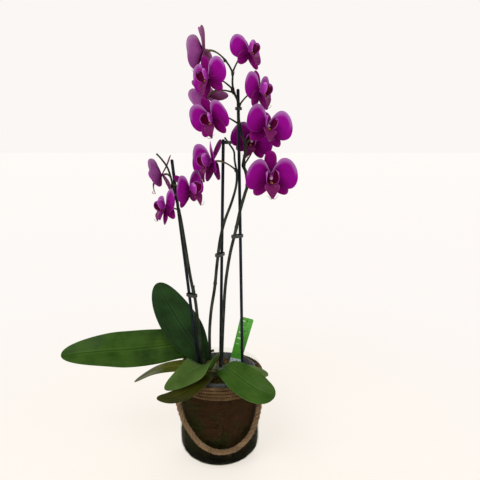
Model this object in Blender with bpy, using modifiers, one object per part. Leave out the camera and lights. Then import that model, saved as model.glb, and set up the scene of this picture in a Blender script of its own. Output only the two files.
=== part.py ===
"""Moth orchid in a glass jar.

A three-spiked Phalaenopsis stands in a slim nursery pot.  The pot sits in a
round-bottomed glass jar, on and inside a lining of moss fibre.  Four turns of
jute are wound round the jar's neck, and a thicker jute rope hangs from them as
a handle.  Units are metres, +Z is up, the origin is the middle of the jar's
underside and -Y is the side that most flowers face.
"""

import math

import bmesh
import bpy
from mathutils import Matrix, Vector

# ---------------------------------------------------------------- dimensions
GAP = 0.0003                 # clearance between pieces that touch

JAR_RADIUS = 0.066
JAR_HEIGHT = 0.156
JAR_WALL = 0.003
JAR_FLOOR = 0.005
JAR_FOOT_FILLET = 0.024
JAR_SEGMENTS = 32
RISE = JAR_HEIGHT - 0.156     # how much higher a taller jar lifts all that it holds
SPREAD = JAR_RADIUS / 0.066   # how much farther a wider jar makes the leaves reach

POT_RIM_RADIUS = 0.0595
POT_FOOT_RADIUS = 0.045
POT_WALL = 0.0012
POT_HEIGHT = 0.130
POT_FOOT_Z = 0.019 + RISE
POT_LIP_HEIGHT = 0.008
POT_LIP_DEPTH = 0.0012

LINING_TOP_Z = 0.140 + RISE
BARK_TOP_Z = 0.139 + RISE
BARK_LUMP = 0.0022
TURNED_SEGMENTS = 32

TWINE_RADIUS = 0.0026
COLLAR_TURNS = 4
COLLAR_PITCH = 0.0056
COLLAR_TOP_Z = 0.1505 + RISE
HANDLE_RADIUS = 0.0046

STAKE_RADIUS = 0.0024
STAKE_DEPTH = 0.045          # length pushed into the bark
STEM_RADIUS = 0.0025
STEM_TIP_RADIUS = 0.0013
PEDICEL_RADIUS = 0.0014
SOCKET_CLEARANCE = 0.0006    # hole in the bark round a stake
CLIP_WALL = 0.0012
CLIP_HEIGHT = 0.0045
CLIP_CLEARANCE = 0.0009

LEAF_THICKNESS = 0.0022
PETAL_THICKNESS = 0.0010
LIP_THICKNESS = 0.0010

PETAL_LENGTH = 0.0410        # of a full-size flower
PETAL_WIDTH = 0.0490
SEPAL_LENGTH = 0.0375
SEPAL_WIDTH = 0.0200
HUB_RADIUS = 0.0030
LIP_LENGTH = 0.0260
LIP_WIDTH = 0.0270

LABEL_THICKNESS = 0.0007
CROWN_RADIUS = 0.0085

# ------------------------------------------------------------- scene and tools
for old in list(bpy.data.objects):
    bpy.data.objects.remove(old, do_unlink=True)

PARTS = bpy.data.collections.new("orchid_in_jar")
CUTTERS = bpy.data.collections.new("cutters")
bpy.context.scene.collection.children.link(PARTS)
bpy.context.scene.collection.children.link(CUTTERS)


def material(name, color, roughness, metallic=0.0, transmission=0.0):
    """Plain Principled material."""
    mat = bpy.data.materials.new(name)
    mat.use_nodes = True
    shader = mat.node_tree.nodes["Principled BSDF"]
    shader.inputs["Base Color"].default_value = (*color, 1.0)
    shader.inputs["Roughness"].default_value = roughness
    shader.inputs["Metallic"].default_value = metallic
    shader.inputs["Transmission Weight"].default_value = transmission
    return mat


GLASS = material("clear_glass", (0.80, 0.84, 0.80), 0.06, transmission=0.9)
MOSS = material("moss_fibre", (0.06, 0.045, 0.018), 0.95)
POT_PLASTIC = material("smoke_plastic", (0.07, 0.075, 0.08), 0.35)
BARK = material("bark_chips", (0.10, 0.06, 0.03), 0.95)
JUTE = material("jute", (0.42, 0.26, 0.13), 0.9)
LEAF_GREEN = material("leaf_green", (0.045, 0.12, 0.025), 0.38)
LEAF_OLIVE = material("leaf_olive", (0.09, 0.085, 0.012), 0.5)
STEM_GREEN = material("stem_green", (0.025, 0.035, 0.015), 0.5)
STAKE_BLACK = material("stake_black", (0.006, 0.008, 0.010), 0.4)
PETAL_MAGENTA = material("petal_magenta", (0.33, 0.01, 0.27), 0.55)
LIP_MAROON = material("lip_maroon", (0.16, 0.0, 0.05), 0.45)
LABEL_GREEN = material("label_green", (0.07, 0.42, 0.04), 0.4)


def add_mesh_object(name, mesh, mat, collection=PARTS):
    """Put a mesh into the scene as one named piece."""
    piece = bpy.data.objects.new(name, mesh)
    collection.objects.link(piece)
    mesh.materials.clear()
    mesh.materials.append(mat)
    return piece


def evaluated_mesh(source, weld=0.000001):
    """Mesh of an object with its modifiers, welded, in world space."""
    bpy.context.view_layer.update()
    graph = bpy.context.evaluated_depsgraph_get()
    mesh = bpy.data.meshes.new_from_object(source.evaluated_get(graph), depsgraph=graph)
    mesh.transform(source.matrix_world)
    work = bmesh.new()
    work.from_mesh(mesh)
    bmesh.ops.remove_doubles(work, verts=work.verts, dist=weld)
    bmesh.ops.recalc_face_normals(work, faces=work.faces)
    work.to_mesh(mesh)
    work.free()
    return mesh


def baked(source, name, mat, collection=PARTS):
    """Replace a curve or a modified object by the plain mesh that it shows."""
    mesh = evaluated_mesh(source)
    bpy.data.objects.remove(source, do_unlink=True)
    return add_mesh_object(name, mesh, mat, collection)


def make_cutter(piece):
    """Hide a helper object from the build."""
    for holder in list(piece.users_collection):
        holder.objects.unlink(piece)
    CUTTERS.objects.link(piece)
    piece.hide_render = True
    piece.display_type = "WIRE"


def boolean(piece, other, operation):
    """Leave one exact Boolean on the piece, its operand among the cutters."""
    make_cutter(other)
    mod = piece.modifiers.new(operation.lower(), "BOOLEAN")
    mod.operation = operation
    mod.solver = "EXACT"
    mod.object = other


def joined(name, pieces, mat):
    """Unite overlapping solids into one closed body."""
    base = pieces[0]
    for other in pieces[1:]:
        mod = base.modifiers.new("union", "BOOLEAN")
        mod.operation = "UNION"
        mod.solver = "EXACT"
        mod.object = other
    result = baked(base, name, mat)
    for other in pieces[1:]:
        bpy.data.objects.remove(other, do_unlink=True)
    return result


def shade(piece, angle=40.0):
    """Smooth shading with creases kept."""
    piece.data.shade_smooth()
    piece.data.set_sharp_from_angle(angle=math.radians(angle))


def turned(name, profile, segments, mat):
    """Solid of revolution from a profile of (radius, height) points."""
    mesh = bpy.data.meshes.new(name)
    verts = [(radius, 0.0, height) for radius, height in profile]
    mesh.from_pydata(verts, [(i, i + 1) for i in range(len(verts) - 1)], [])
    piece = add_mesh_object(name, mesh, mat)
    screw = piece.modifiers.new("turn", "SCREW")
    screw.angle = math.tau
    screw.steps = segments
    screw.render_steps = segments
    screw.use_merge_vertices = True
    screw.merge_threshold = 0.00001
    screw.use_smooth_shade = True
    return piece


def spline_point(points, t):
    """Point at parameter t (0..1) on a Catmull-Rom curve through the points."""
    count = len(points) - 1
    span = min(int(t * count), count - 1)
    local = t * count - span
    p1 = Vector(points[span])
    p2 = Vector(points[span + 1])
    p0 = Vector(points[span - 1]) if span > 0 else p1 * 2 - p2
    p3 = Vector(points[span + 2]) if span + 2 <= count else p2 * 2 - p1
    return 0.5 * (
        p1 * 2
        + (p2 - p0) * local
        + (p0 * 2 - p1 * 5 + p2 * 4 - p3) * local ** 2
        + (p1 * 3 - p0 - p2 * 3 + p3) * local ** 3
    )


def smooth_route(points, count):
    """Evenly spaced parameters along the curve through the points."""
    return [spline_point(points, i / (count - 1)) for i in range(count)]


def tube(name, points, radii, mat, resolution=1):
    """Round tube on a polyline, with closed ends."""
    curve = bpy.data.curves.new(name, "CURVE")
    curve.dimensions = "3D"
    curve.bevel_depth = 1.0
    curve.bevel_resolution = resolution
    curve.use_fill_caps = True
    line = curve.splines.new("POLY")
    line.points.add(len(points) - 1)
    for i, (point, radius) in enumerate(zip(points, radii)):
        line.points[i].co = (*point, 1.0)
        line.points[i].radius = radius
    piece = bpy.data.objects.new(name, curve)
    PARTS.objects.link(piece)
    curve.materials.append(mat)
    return piece


# ------------------------------------------------------------- jar and filling
def foot_arc(radius, fillet, steps=6):
    """Rounded foot from the wall down to the flat underside."""
    arc = []
    for i in range(steps + 1):
        turn = math.radians(90.0) * i / steps
        arc.append((radius - fillet + fillet * math.cos(turn), fillet - fillet * math.sin(turn)))
    return arc


inner_radius = JAR_RADIUS - JAR_WALL
inner_fillet = JAR_FOOT_FILLET - JAR_WALL
outside = [(JAR_RADIUS, JAR_HEIGHT - JAR_WALL / 2)] + foot_arc(JAR_RADIUS, JAR_FOOT_FILLET)
inside = [(r, z + JAR_FLOOR) for r, z in foot_arc(inner_radius, inner_fillet)]
rim = [
    (inner_radius, JAR_HEIGHT - JAR_WALL / 2),
    (inner_radius + JAR_WALL * 0.2, JAR_HEIGHT - JAR_WALL * 0.1),
    (JAR_RADIUS - JAR_WALL * 0.5, JAR_HEIGHT),
    (JAR_RADIUS - JAR_WALL * 0.2, JAR_HEIGHT - JAR_WALL * 0.1),
]
jar_profile = [(0.0, JAR_FLOOR)] + inside[::-1] + rim + outside + [(0.0, 0.0)]
jar = turned("glass_jar", jar_profile, JAR_SEGMENTS, GLASS)
shade(jar)

# Moss fibre packed between the jar and the nursery pot, and under the pot.
moss_outer = [(r - GAP, z + GAP) for r, z in inside]
moss_profile = (
    [(0.0, POT_FOOT_Z - GAP), (POT_FOOT_RADIUS + GAP, POT_FOOT_Z - GAP)]
    + [(POT_RIM_RADIUS - POT_LIP_DEPTH + GAP, LINING_TOP_Z - 0.0005)]
    + [(inner_radius - GAP, LINING_TOP_Z)]
    + moss_outer
    + [(0.0, JAR_FLOOR + GAP)]
)
lining = turned("fibre_lining", moss_profile, JAR_SEGMENTS, MOSS)
shade(lining)


def pot_radius(height):
    """Outer radius of the nursery pot's tapered wall."""
    share = (height - POT_FOOT_Z) / POT_HEIGHT
    return POT_FOOT_RADIUS + (POT_RIM_RADIUS - POT_LIP_DEPTH - POT_FOOT_RADIUS) * share


pot_top = POT_FOOT_Z + POT_HEIGHT
pot_profile = [
    (0.0, POT_FOOT_Z + POT_WALL),
    (POT_FOOT_RADIUS - POT_WALL, POT_FOOT_Z + POT_WALL),
    (pot_radius(pot_top) - POT_WALL, pot_top),
    (POT_RIM_RADIUS, pot_top),
    (POT_RIM_RADIUS, pot_top - POT_LIP_HEIGHT),
    (pot_radius(pot_top - POT_LIP_HEIGHT), pot_top - POT_LIP_HEIGHT - 0.0004),
    (POT_FOOT_RADIUS, POT_FOOT_Z),
    (0.0, POT_FOOT_Z),
]
pot = turned("nursery_pot", pot_profile, TURNED_SEGMENTS, POT_PLASTIC)
shade(pot)

bark_foot = POT_FOOT_Z + POT_WALL + GAP
bark_side = POT_WALL + 0.0008
bark_profile = [(0.0, BARK_TOP_Z)]
for ring in range(1, 6):
    bark_profile.append((0.0090 * ring, BARK_TOP_Z))
bark_profile += [
    (pot_radius(BARK_TOP_Z) - bark_side, BARK_TOP_Z - 0.001),
    (pot_radius(bark_foot) - bark_side, bark_foot),
    (0.0, bark_foot),
]
bark = baked(turned("bark_turned", bark_profile, 28, BARK), "bark_mix", BARK)
for vert in bark.data.vertices:
    if vert.co.z > BARK_TOP_Z - 0.0005:
        x = vert.co.x
        y = vert.co.y
        lump = math.sin(x * 310.0 + 1.3) * math.cos(y * 270.0) + 0.6 * math.sin((x + y) * 520.0)
        vert.co.z += BARK_LUMP * lump / 1.6

# ---------------------------------------------------------------- jute collar
COLLAR_POINTS = 20
helix_radius = (JAR_RADIUS + GAP + TWINE_RADIUS) / math.cos(math.pi / COLLAR_POINTS)
collar_points = []
for i in range(COLLAR_TURNS * COLLAR_POINTS + 1):
    angle = math.tau * i / COLLAR_POINTS + math.radians(100.0)
    height = COLLAR_TOP_Z - TWINE_RADIUS - COLLAR_PITCH * i / COLLAR_POINTS
    collar_points.append(
        Vector((
            helix_radius * math.cos(angle),
            helix_radius * math.sin(angle),
            height,
        ))
    )
tube("rope_collar", collar_points, [TWINE_RADIUS] * len(collar_points), JUTE, 1)

# ------------------------------------------------ rope handle, hanging in front
HANDLE_ROUTE = [             # (degrees round the jar from the front, height)
    (-74.0, 0.1215), (-68.5, 0.1050), (-59.5, 0.0905), (-46.0, 0.0735), (-25.0, 0.0520),
    (-8.0, 0.0420), (6.0, 0.0395), (22.0, 0.0420), (40.0, 0.0530), (54.0, 0.0700),
    (63.0, 0.0880), (68.0, 0.1060), (71.0, 0.1215),
]
handle_reach = JAR_RADIUS + 0.0008 + HANDLE_RADIUS
route = []
for degrees, height in HANDLE_ROUTE:
    angle = math.radians(degrees)
    route.append((
        handle_reach * math.sin(angle), -handle_reach * math.cos(angle), height + RISE,
    ))
handle_points = smooth_route(route, 40)
tube("rope_handle", handle_points, [HANDLE_RADIUS] * 40, JUTE, 2)

# -------------------------------------------------------------- plastic stakes
STAKES = {                   # (foot above the bark, tip)
    "left": ((-0.034, 0.001, 0.150), (-0.069, 0.001, 0.488)),
    "middle": ((0.0015, 0.010, 0.150), (0.009, 0.001, 0.518)),
    "right": ((0.038, 0.006, 0.147), (0.031, 0.006, 0.591)),
}
for side, ends in STAKES.items():
    STAKES[side] = tuple((x, y, z + RISE) for x, y, z in ends)


def stake_point(side, height):
    """Point on a stake's axis at a height."""
    foot, tip = (Vector(end) for end in STAKES[side])
    return foot + (tip - foot) * ((height - foot.z) / (tip.z - foot.z))


for side in STAKES:
    low = stake_point(side, BARK_TOP_Z - STAKE_DEPTH)
    high = Vector(STAKES[side][1])
    neck = high - (high - low).normalized() * 0.002
    radii = [STAKE_RADIUS, STAKE_RADIUS, STAKE_RADIUS * 0.55]
    tube("stake_" + side, [low, neck, high], radii, STAKE_BLACK, 1)
    socket_radius = STAKE_RADIUS + SOCKET_CLEARANCE
    socket_low = stake_point(side, BARK_TOP_Z - STAKE_DEPTH - 0.001)
    socket_high = stake_point(side, BARK_TOP_Z + 0.020)
    socket = tube("socket", [socket_low, socket_high], [socket_radius] * 2, BARK, 1)
    boolean(bark, baked(socket, "socket_" + side, BARK), "DIFFERENCE")

# ------------------------------------------------------------------ crown, label
CROWN_CENTRE = Vector((-0.0065, -0.0140, 0.0))
CROWN_FOOT_Z = BARK_TOP_Z - 0.012
crown_profile = [
    (0.0, 0.0225), (CROWN_RADIUS * 0.55, 0.0215), (CROWN_RADIUS * 0.85, 0.016),
    (CROWN_RADIUS, 0.008), (CROWN_RADIUS * 0.85, -0.004), (CROWN_RADIUS * 0.55, -0.011),
    (0.0, -0.012),
]
crown = turned("crown", [(r, z + BARK_TOP_Z) for r, z in crown_profile], 16, STEM_GREEN)
crown.location = CROWN_CENTRE
shade(crown)
bpy.ops.mesh.primitive_cylinder_add(
    vertices=16, radius=CROWN_RADIUS + 0.0016, depth=0.040,
    location=(CROWN_CENTRE.x, CROWN_CENTRE.y, CROWN_FOOT_Z - 0.0006 + 0.020),
)
pocket = bpy.context.object
pocket.name = "crown_pocket"
boolean(bark, pocket, "DIFFERENCE")

LABEL_WIDTH = 0.0225
LABEL_TOP = Vector((0.0460, 0.020, 0.2265 + RISE))
LABEL_FOOT = Vector((0.0205, 0.0125, 0.1300 + RISE))
label_axis = (LABEL_TOP - LABEL_FOOT).normalized()
label_side = Vector((0.965, 0.0, -0.262))
label_side = (label_side - label_axis * label_side.dot(label_axis)).normalized()
label_face = label_side.cross(label_axis).normalized()
label_length = (LABEL_TOP - LABEL_FOOT).length
label_frame = Matrix((
    (label_side.x, label_axis.x, label_face.x, LABEL_FOOT.x),
    (label_side.y, label_axis.y, label_face.y, LABEL_FOOT.y),
    (label_side.z, label_axis.z, label_face.z, LABEL_FOOT.z),
    (0.0, 0.0, 0.0, 1.0),
))


def label_outline(half, length, corner):
    """Flat label with rounded top corners and a foot tapering to the bark."""
    outline = [(-half * 0.45, 0.0), (half * 0.45, 0.0), (half * 0.80, length * 0.16)]
    for step in range(4):
        turn = math.radians(30.0 * step)
        outline.append((
            half - corner + corner * math.cos(turn),
            length - corner + corner * math.sin(turn),
        ))
    for step in range(4):
        turn = math.radians(90.0 + 30.0 * step)
        outline.append((
            -half + corner + corner * math.cos(turn),
            length - corner + corner * math.sin(turn),
        ))
    outline.append((-half * 0.80, length * 0.16))
    return outline


def flat_shape(name, outlines, thickness, frame, mat):
    """Filled 2-D outline, extruded to a thickness and set in a frame."""
    curve = bpy.data.curves.new(name, "CURVE")
    curve.dimensions = "2D"
    curve.fill_mode = "BOTH"
    curve.extrude = thickness / 2
    for outline in outlines:
        line = curve.splines.new("POLY")
        line.points.add(len(outline) - 1)
        for i, (x, y) in enumerate(outline):
            line.points[i].co = (x, y, 0.0, 1.0)
        line.use_cyclic_u = True
    piece = bpy.data.objects.new(name, curve)
    PARTS.objects.link(piece)
    piece.matrix_world = frame
    return baked(piece, name, mat)


flat_shape(
    "plant_label", [label_outline(LABEL_WIDTH / 2, label_length, 0.003)],
    LABEL_THICKNESS, label_frame, LABEL_GREEN,
)
bpy.ops.mesh.primitive_cube_add(size=1.0)
slot = bpy.context.object
slot.name = "label_slot"
slot.scale = (LABEL_WIDTH * 0.9, 0.034, LABEL_THICKNESS + 0.0012)
slot.matrix_world = label_frame @ Matrix.Translation((0.0, 0.0155, 0.0)) @ Matrix.Diagonal(
    (LABEL_WIDTH * 0.9, 0.034, LABEL_THICKNESS + 0.0012, 1.0)
)
boolean(bark, slot, "DIFFERENCE")


# ------------------------------------------------------------------- thin blades
def blade(name, rows, columns, place, thickness, mat):
    """Thin closed blade: a grid primitive bent by place(u, v), then thickened."""
    work = bmesh.new()
    bmesh.ops.create_grid(work, x_segments=len(rows) - 1, y_segments=columns, size=1.0)
    for vert in work.verts:
        step = round((vert.co.x + 1.0) / 2.0 * (len(rows) - 1))
        vert.co = place(rows[step], vert.co.y)
    mesh = bpy.data.meshes.new(name)
    work.to_mesh(mesh)
    work.free()
    piece = add_mesh_object(name, mesh, mat)
    solid = piece.modifiers.new("thickness", "SOLIDIFY")
    solid.thickness = thickness
    solid.offset = 0.0
    return baked(piece, name, mat)


def outline_share(u, foot, widest, roundness):
    """Half width at u as a share of the greatest: narrow foot, round tip."""
    if u < widest:
        return foot + (1.0 - foot) * math.sin(math.radians(90.0) * u / widest)
    share = (u - widest) / (1.0 - widest)
    return max(math.sqrt(max(1.0 - share ** roundness, 0.0)), 0.06)


LEAF_ROWS = [0.0, 0.09, 0.2, 0.34, 0.5, 0.66, 0.8, 0.9, 0.965, 1.0]
LEAVES = {   # route of the midrib, width, side vector at foot and tip, fold, widest, tip
    "leaf_left_long": (
        [(-0.0240, 0.0155, 0.1545), (-0.0430, 0.0225, 0.1700), (-0.0700, 0.0225, 0.1795),
         (-0.1080, 0.0080, 0.1815), (-0.1450, -0.0150, 0.1870), (-0.1810, -0.0300, 0.1910),
         (-0.2450, -0.0400, 0.1885)],
        0.058, (0.20, 0.05, 0.95), (0.0, 0.80, 0.60), (0.14, 0.14), 0.60, 3.2),
    "leaf_upright": (
        [(-0.0225, 0.0070, 0.1560), (-0.0525, 0.0155, 0.2000), (-0.0800, 0.0240, 0.2425),
         (-0.1027, 0.033, 0.2828)],
        0.063, (0.78, 0.10, 0.60), (0.82, 0.20, 0.56), (0.12, 0.14), 0.42, 1.8),
    "leaf_left_narrow": (
        [(-0.0205, -0.0190, 0.1545), (-0.040, -0.0235, 0.1600), (-0.066, -0.0225, 0.1605),
         (-0.103, -0.011, 0.1480), (-0.1405, 0.000, 0.1235)],
        0.036, (0.12, 0.98, 0.10), (0.10, 0.98, 0.08), (0.08, 0.10), 0.50, 2.0),
    "leaf_front_left": (
        [(-0.0120, -0.0285, 0.1579), (-0.016, -0.042, 0.1700), (-0.028, -0.058, 0.1760),
         (-0.045, -0.073, 0.1722), (-0.077, -0.096, 0.1600)],
        0.052, (0.94, 0.16, 0.28), (0.84, 0.20, -0.24), (0.72, 0.10), 0.33, 1.2),
    "leaf_front_lower": (
        [(-0.0075, -0.0290, 0.1495), (-0.0150, -0.0480, 0.1593), (-0.0248, -0.0650, 0.1602),
         (-0.0445, -0.0880, 0.1526), (-0.0650, -0.1060, 0.1514), (-0.0860, -0.1150, 0.1550)],
        0.029, (0.62, -0.72, -0.18), (0.46, -0.84, -0.28), (0.04, 0.04), 0.55, 2.4),
    "leaf_front_right": (
        [(0.0040, -0.0250, 0.1600), (0.012, -0.044, 0.1680), (0.0285, -0.060, 0.1649),
         (0.0445, -0.077, 0.1603), (0.0636, -0.091, 0.1546), (0.0860, -0.098, 0.1511)],
        0.048, (0.80, 0.45, 0.36), (0.55, 0.50, 0.62), (0.14, 0.14), 0.58, 2.4),
    "leaf_right_small": (
        [(0.0070, -0.0200, 0.1560), (0.0310, -0.034, 0.1612), (0.0555, -0.042, 0.1611),
         (0.0781, -0.046, 0.1575)],
        0.030, (-0.06, 0.98, 0.10), (-0.06, 0.98, 0.10), (0.12, 0.12), 0.55, 2.6),
}
for leaf_name, spec in LEAVES.items():
    LEAVES[leaf_name] = ([(x * SPREAD, y * SPREAD, z + RISE) for x, y, z in spec[0]], *spec[1:])


def leaf(name, spec, mat):
    """Strap leaf along its midrib, folded into a V that is deepest at the foot or tip."""
    route_points, width, side_foot, side_tip, fold, widest, roundness = spec

    def place(u, v):
        centre = spline_point(route_points, u)
        ahead = spline_point(route_points, min(u + 0.02, 1.0))
        behind = spline_point(route_points, max(u - 0.02, 0.0))
        along = (ahead - behind).normalized()
        side = Vector(side_foot).lerp(Vector(side_tip), u)
        side = (side - along * side.dot(along)).normalized()
        up = side.cross(along).normalized()
        if up.z < 0.0:
            up = -up
        half = width / 2 * outline_share(u, 0.30, widest, roundness)
        crease = fold[0] + (fold[1] - fold[0]) * u
        return centre + side * (half * v) + up * (crease * half * abs(v))

    piece = blade(name, LEAF_ROWS, 4, place, LEAF_THICKNESS, mat)
    shade(piece, 60.0)


for leaf_name, leaf_spec in LEAVES.items():
    olive = leaf_name in ("leaf_front_lower", "leaf_left_narrow")
    leaf(leaf_name, leaf_spec, LEAF_OLIVE if olive else LEAF_GREEN)


# ----------------------------------------------------------------------- flowers
FLOWERS = {
    # centre, (yaw, pitch, roll) in degrees, size, lift of petals, dorsal, lateral sepals
    "flower_01": ((-0.0185, 0.012, 0.6450), (-106, 1, 23), 0.98, 0.16, -0.16, -0.13),
    "flower_02": ((0.046, -0.010, 0.6420), (45, -14, 12), 0.76, -0.36, -0.58, -0.16),
    "flower_03": ((-0.010, -0.032, 0.6050), (-42, -1, -16), 0.81, -0.20, -0.05, -0.15),
    "flower_04": ((-0.014, 0.014, 0.5810), (-128, 32, 32), 0.85, 0.05, -0.05, -0.60),
    "flower_05": ((0.062, -0.010, 0.5870), (55, -4, 9), 0.83, -0.22, -0.35, -0.04),
    "flower_06": ((-0.006, -0.026, 0.5495), (-31, 18, -11), 0.84, 0.08, 0.00, 0.14),
    "flower_07": ((-0.007, -0.016, 0.4860), (-61, 1, -9), 0.96, 0.24, -0.60, -0.05),
    "flower_08": ((0.054, 0.030, 0.5160), (-14, 12, 17), 0.85, 0.16, 0.20, -0.10),
    "flower_09": ((0.073, -0.020, 0.5365), (22, -20, 17), 0.91, 0.18, -0.62, -0.05),
    "flower_10": ((0.0790, -0.026, 0.4662), (6, 12, -1), 0.98, 0.20, -0.28, 0.05),
    "flower_11": ((-0.085, 0.006, 0.4640), (-86, 10, -9), 0.87, 0.27, -0.72, -0.38),
    "flower_12": ((-0.040, -0.036, 0.4480), (60, -2, -9), 0.81, -0.10, -1.00, -0.27),
    "flower_13": ((-0.077, -0.018, 0.4180), (-60, -12, -26), 0.77, -0.12, -0.40, -0.28),
}
# Crowded flowers stand clear of their neighbours by this much of any extra petal length.
ROOM = {"flower_01": (-0.5, 0.0, 1.4), "flower_09": (0.6, -1.5, 0.0)}
EXTRA_LENGTH = PETAL_LENGTH - 0.0410
for flower_name, spec in FLOWERS.items():
    x, y, z = spec[0]
    room = ROOM.get(flower_name, (0.0, 0.0, 0.0))
    FLOWERS[flower_name] = (
        (x + room[0] * EXTRA_LENGTH, y + room[1] * EXTRA_LENGTH, z + room[2] * EXTRA_LENGTH + RISE),
        *spec[1:],
    )
BLADE_CURL = 0.25            # how far a petal curls forward along its length
BLADE_START = 0.0009         # a blade starts this far from the flower's middle
PETAL_ROWS = [0.0, 0.2, 0.45, 0.72, 0.92, 1.0]
SEPAL_ROWS = [0.0, 0.25, 0.6, 0.88, 1.0]
LIP_ROWS = [0.0, 0.18, 0.42, 0.62, 0.85, 1.0]


def flower_matrix(centre, angles, size):
    """Frame of a flower: it faces local -Y, its dorsal sepal points to +Z."""
    yaw, pitch, roll = (math.radians(a) for a in angles)
    turn = Matrix.Rotation(yaw, 4, "Z") @ Matrix.Rotation(pitch, 4, "X")
    turn = turn @ Matrix.Rotation(roll, 4, "Y")
    return Matrix.Translation(centre) @ turn @ Matrix.Scale(size, 4)


def petal_place(length, width, lift, around, foot, widest, cup, layer, matrix):
    """Map (u, v) on a petal to space: around is its angle from the dorsal one."""
    angle = math.radians(around)

    def place(u, v):
        slope = lift + BLADE_CURL * u / 2
        along = BLADE_START + (length - BLADE_START) * u * math.cos(slope)
        forward = layer + length * u * math.sin(slope)
        half = width / 2 * outline_share(u, foot, widest, 2.2)
        across = half * v
        forward += cup * half * v * v
        local = Vector((
            along * math.sin(angle) + across * math.cos(angle),
            -forward,
            along * math.cos(angle) - across * math.sin(angle),
        ))
        return matrix @ local

    return place


def flower(name, spec):
    """Petals and sepals as one body, lip and column as another."""
    centre, angles, size, lift_petal, lift_dorsal, lift_lateral = spec
    matrix = flower_matrix(centre, angles, size)
    bodies = []
    hub_mesh = bpy.data.meshes.new("hub")
    work = bmesh.new()
    bmesh.ops.create_icosphere(work, subdivisions=1, radius=HUB_RADIUS)
    work.to_mesh(hub_mesh)
    work.free()
    hub_mesh.transform(matrix)
    bodies.append(add_mesh_object("hub", hub_mesh, PETAL_MAGENTA))
    blades = [
        (SEPAL_LENGTH, SEPAL_WIDTH, lift_dorsal, 0.0, 0.20, 0.5, 0.10, -0.0004, SEPAL_ROWS, 2),
        (SEPAL_LENGTH, SEPAL_WIDTH, lift_lateral, 138.0, 0.20, 0.5, 0.10, -0.0007, SEPAL_ROWS, 2),
        (SEPAL_LENGTH, SEPAL_WIDTH, lift_lateral, -138.0, 0.20, 0.5, 0.10, -0.0010, SEPAL_ROWS, 2),
        (PETAL_LENGTH, PETAL_WIDTH, lift_petal, 76.0, 0.14, 0.58, 0.08, 0.0007, PETAL_ROWS, 2),
        (PETAL_LENGTH, PETAL_WIDTH, lift_petal, -76.0, 0.14, 0.58, 0.08, 0.0011, PETAL_ROWS, 2),
    ]
    for length, width, lift, around, foot, widest, cup, layer, rows, columns in blades:
        place = petal_place(length, width, lift, around, foot, widest, cup, layer, matrix)
        bodies.append(blade("blade", rows, columns, place, PETAL_THICKNESS, PETAL_MAGENTA))
    petals = joined(name + "_petals", bodies, PETAL_MAGENTA)
    shade(petals, 60.0)

    column_mesh = bpy.data.meshes.new("column")
    work = bmesh.new()
    bmesh.ops.create_icosphere(work, subdivisions=1, radius=1.0)
    work.to_mesh(column_mesh)
    work.free()
    column_mesh.transform(
        matrix @ Matrix.Translation((0.0, -0.0082, -0.0005))
        @ Matrix.Rotation(math.radians(20.0), 4, "X") @ Matrix.Diagonal((0.0026, 0.0044, 0.0026, 1.0))
    )
    column = add_mesh_object("column", column_mesh, LIP_MAROON)

    def lip_place(u, v):
        """Trough whose sides rise beside the column, then a narrow mid-lobe."""
        turn = math.radians(28.0 + 34.0 * u)
        along = LIP_LENGTH * u
        half = LIP_WIDTH / 2 * math.sin(math.radians(180.0) * (0.12 + 0.42 * u / 0.45)) if u < 0.45 else 0.0042
        if u > 0.8:
            half = 0.0022
        rise = 1.35 * abs(v) * half if u < 0.45 else 0.25 * abs(v) * half
        spread = 0.72 if u < 0.45 else 1.0
        return matrix @ Vector((
            half * v * spread,
            -0.0050 - along * math.cos(turn),
            -0.0030 - along * math.sin(turn) + rise,
        ))

    lip = blade("lip", LIP_ROWS, 2, lip_place, LIP_THICKNESS, LIP_MAROON)
    lip_body = joined(name + "_lip", [lip, column], LIP_MAROON)
    shade(lip_body, 60.0)


for flower_name, flower_spec in FLOWERS.items():
    flower(flower_name, flower_spec)


# ----------------------------------------------------------------- flower spikes
def pedicel_end(name):
    """Where a stalk meets the back of its flower."""
    centre, angles, size = FLOWERS[name][:3]
    matrix = flower_matrix(centre, angles, size)
    back = (matrix.to_3x3() @ Vector((0.0, 1.0, 0.0))).normalized()
    return Vector(centre) + back * (HUB_RADIUS * size + 0.0010), back


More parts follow.
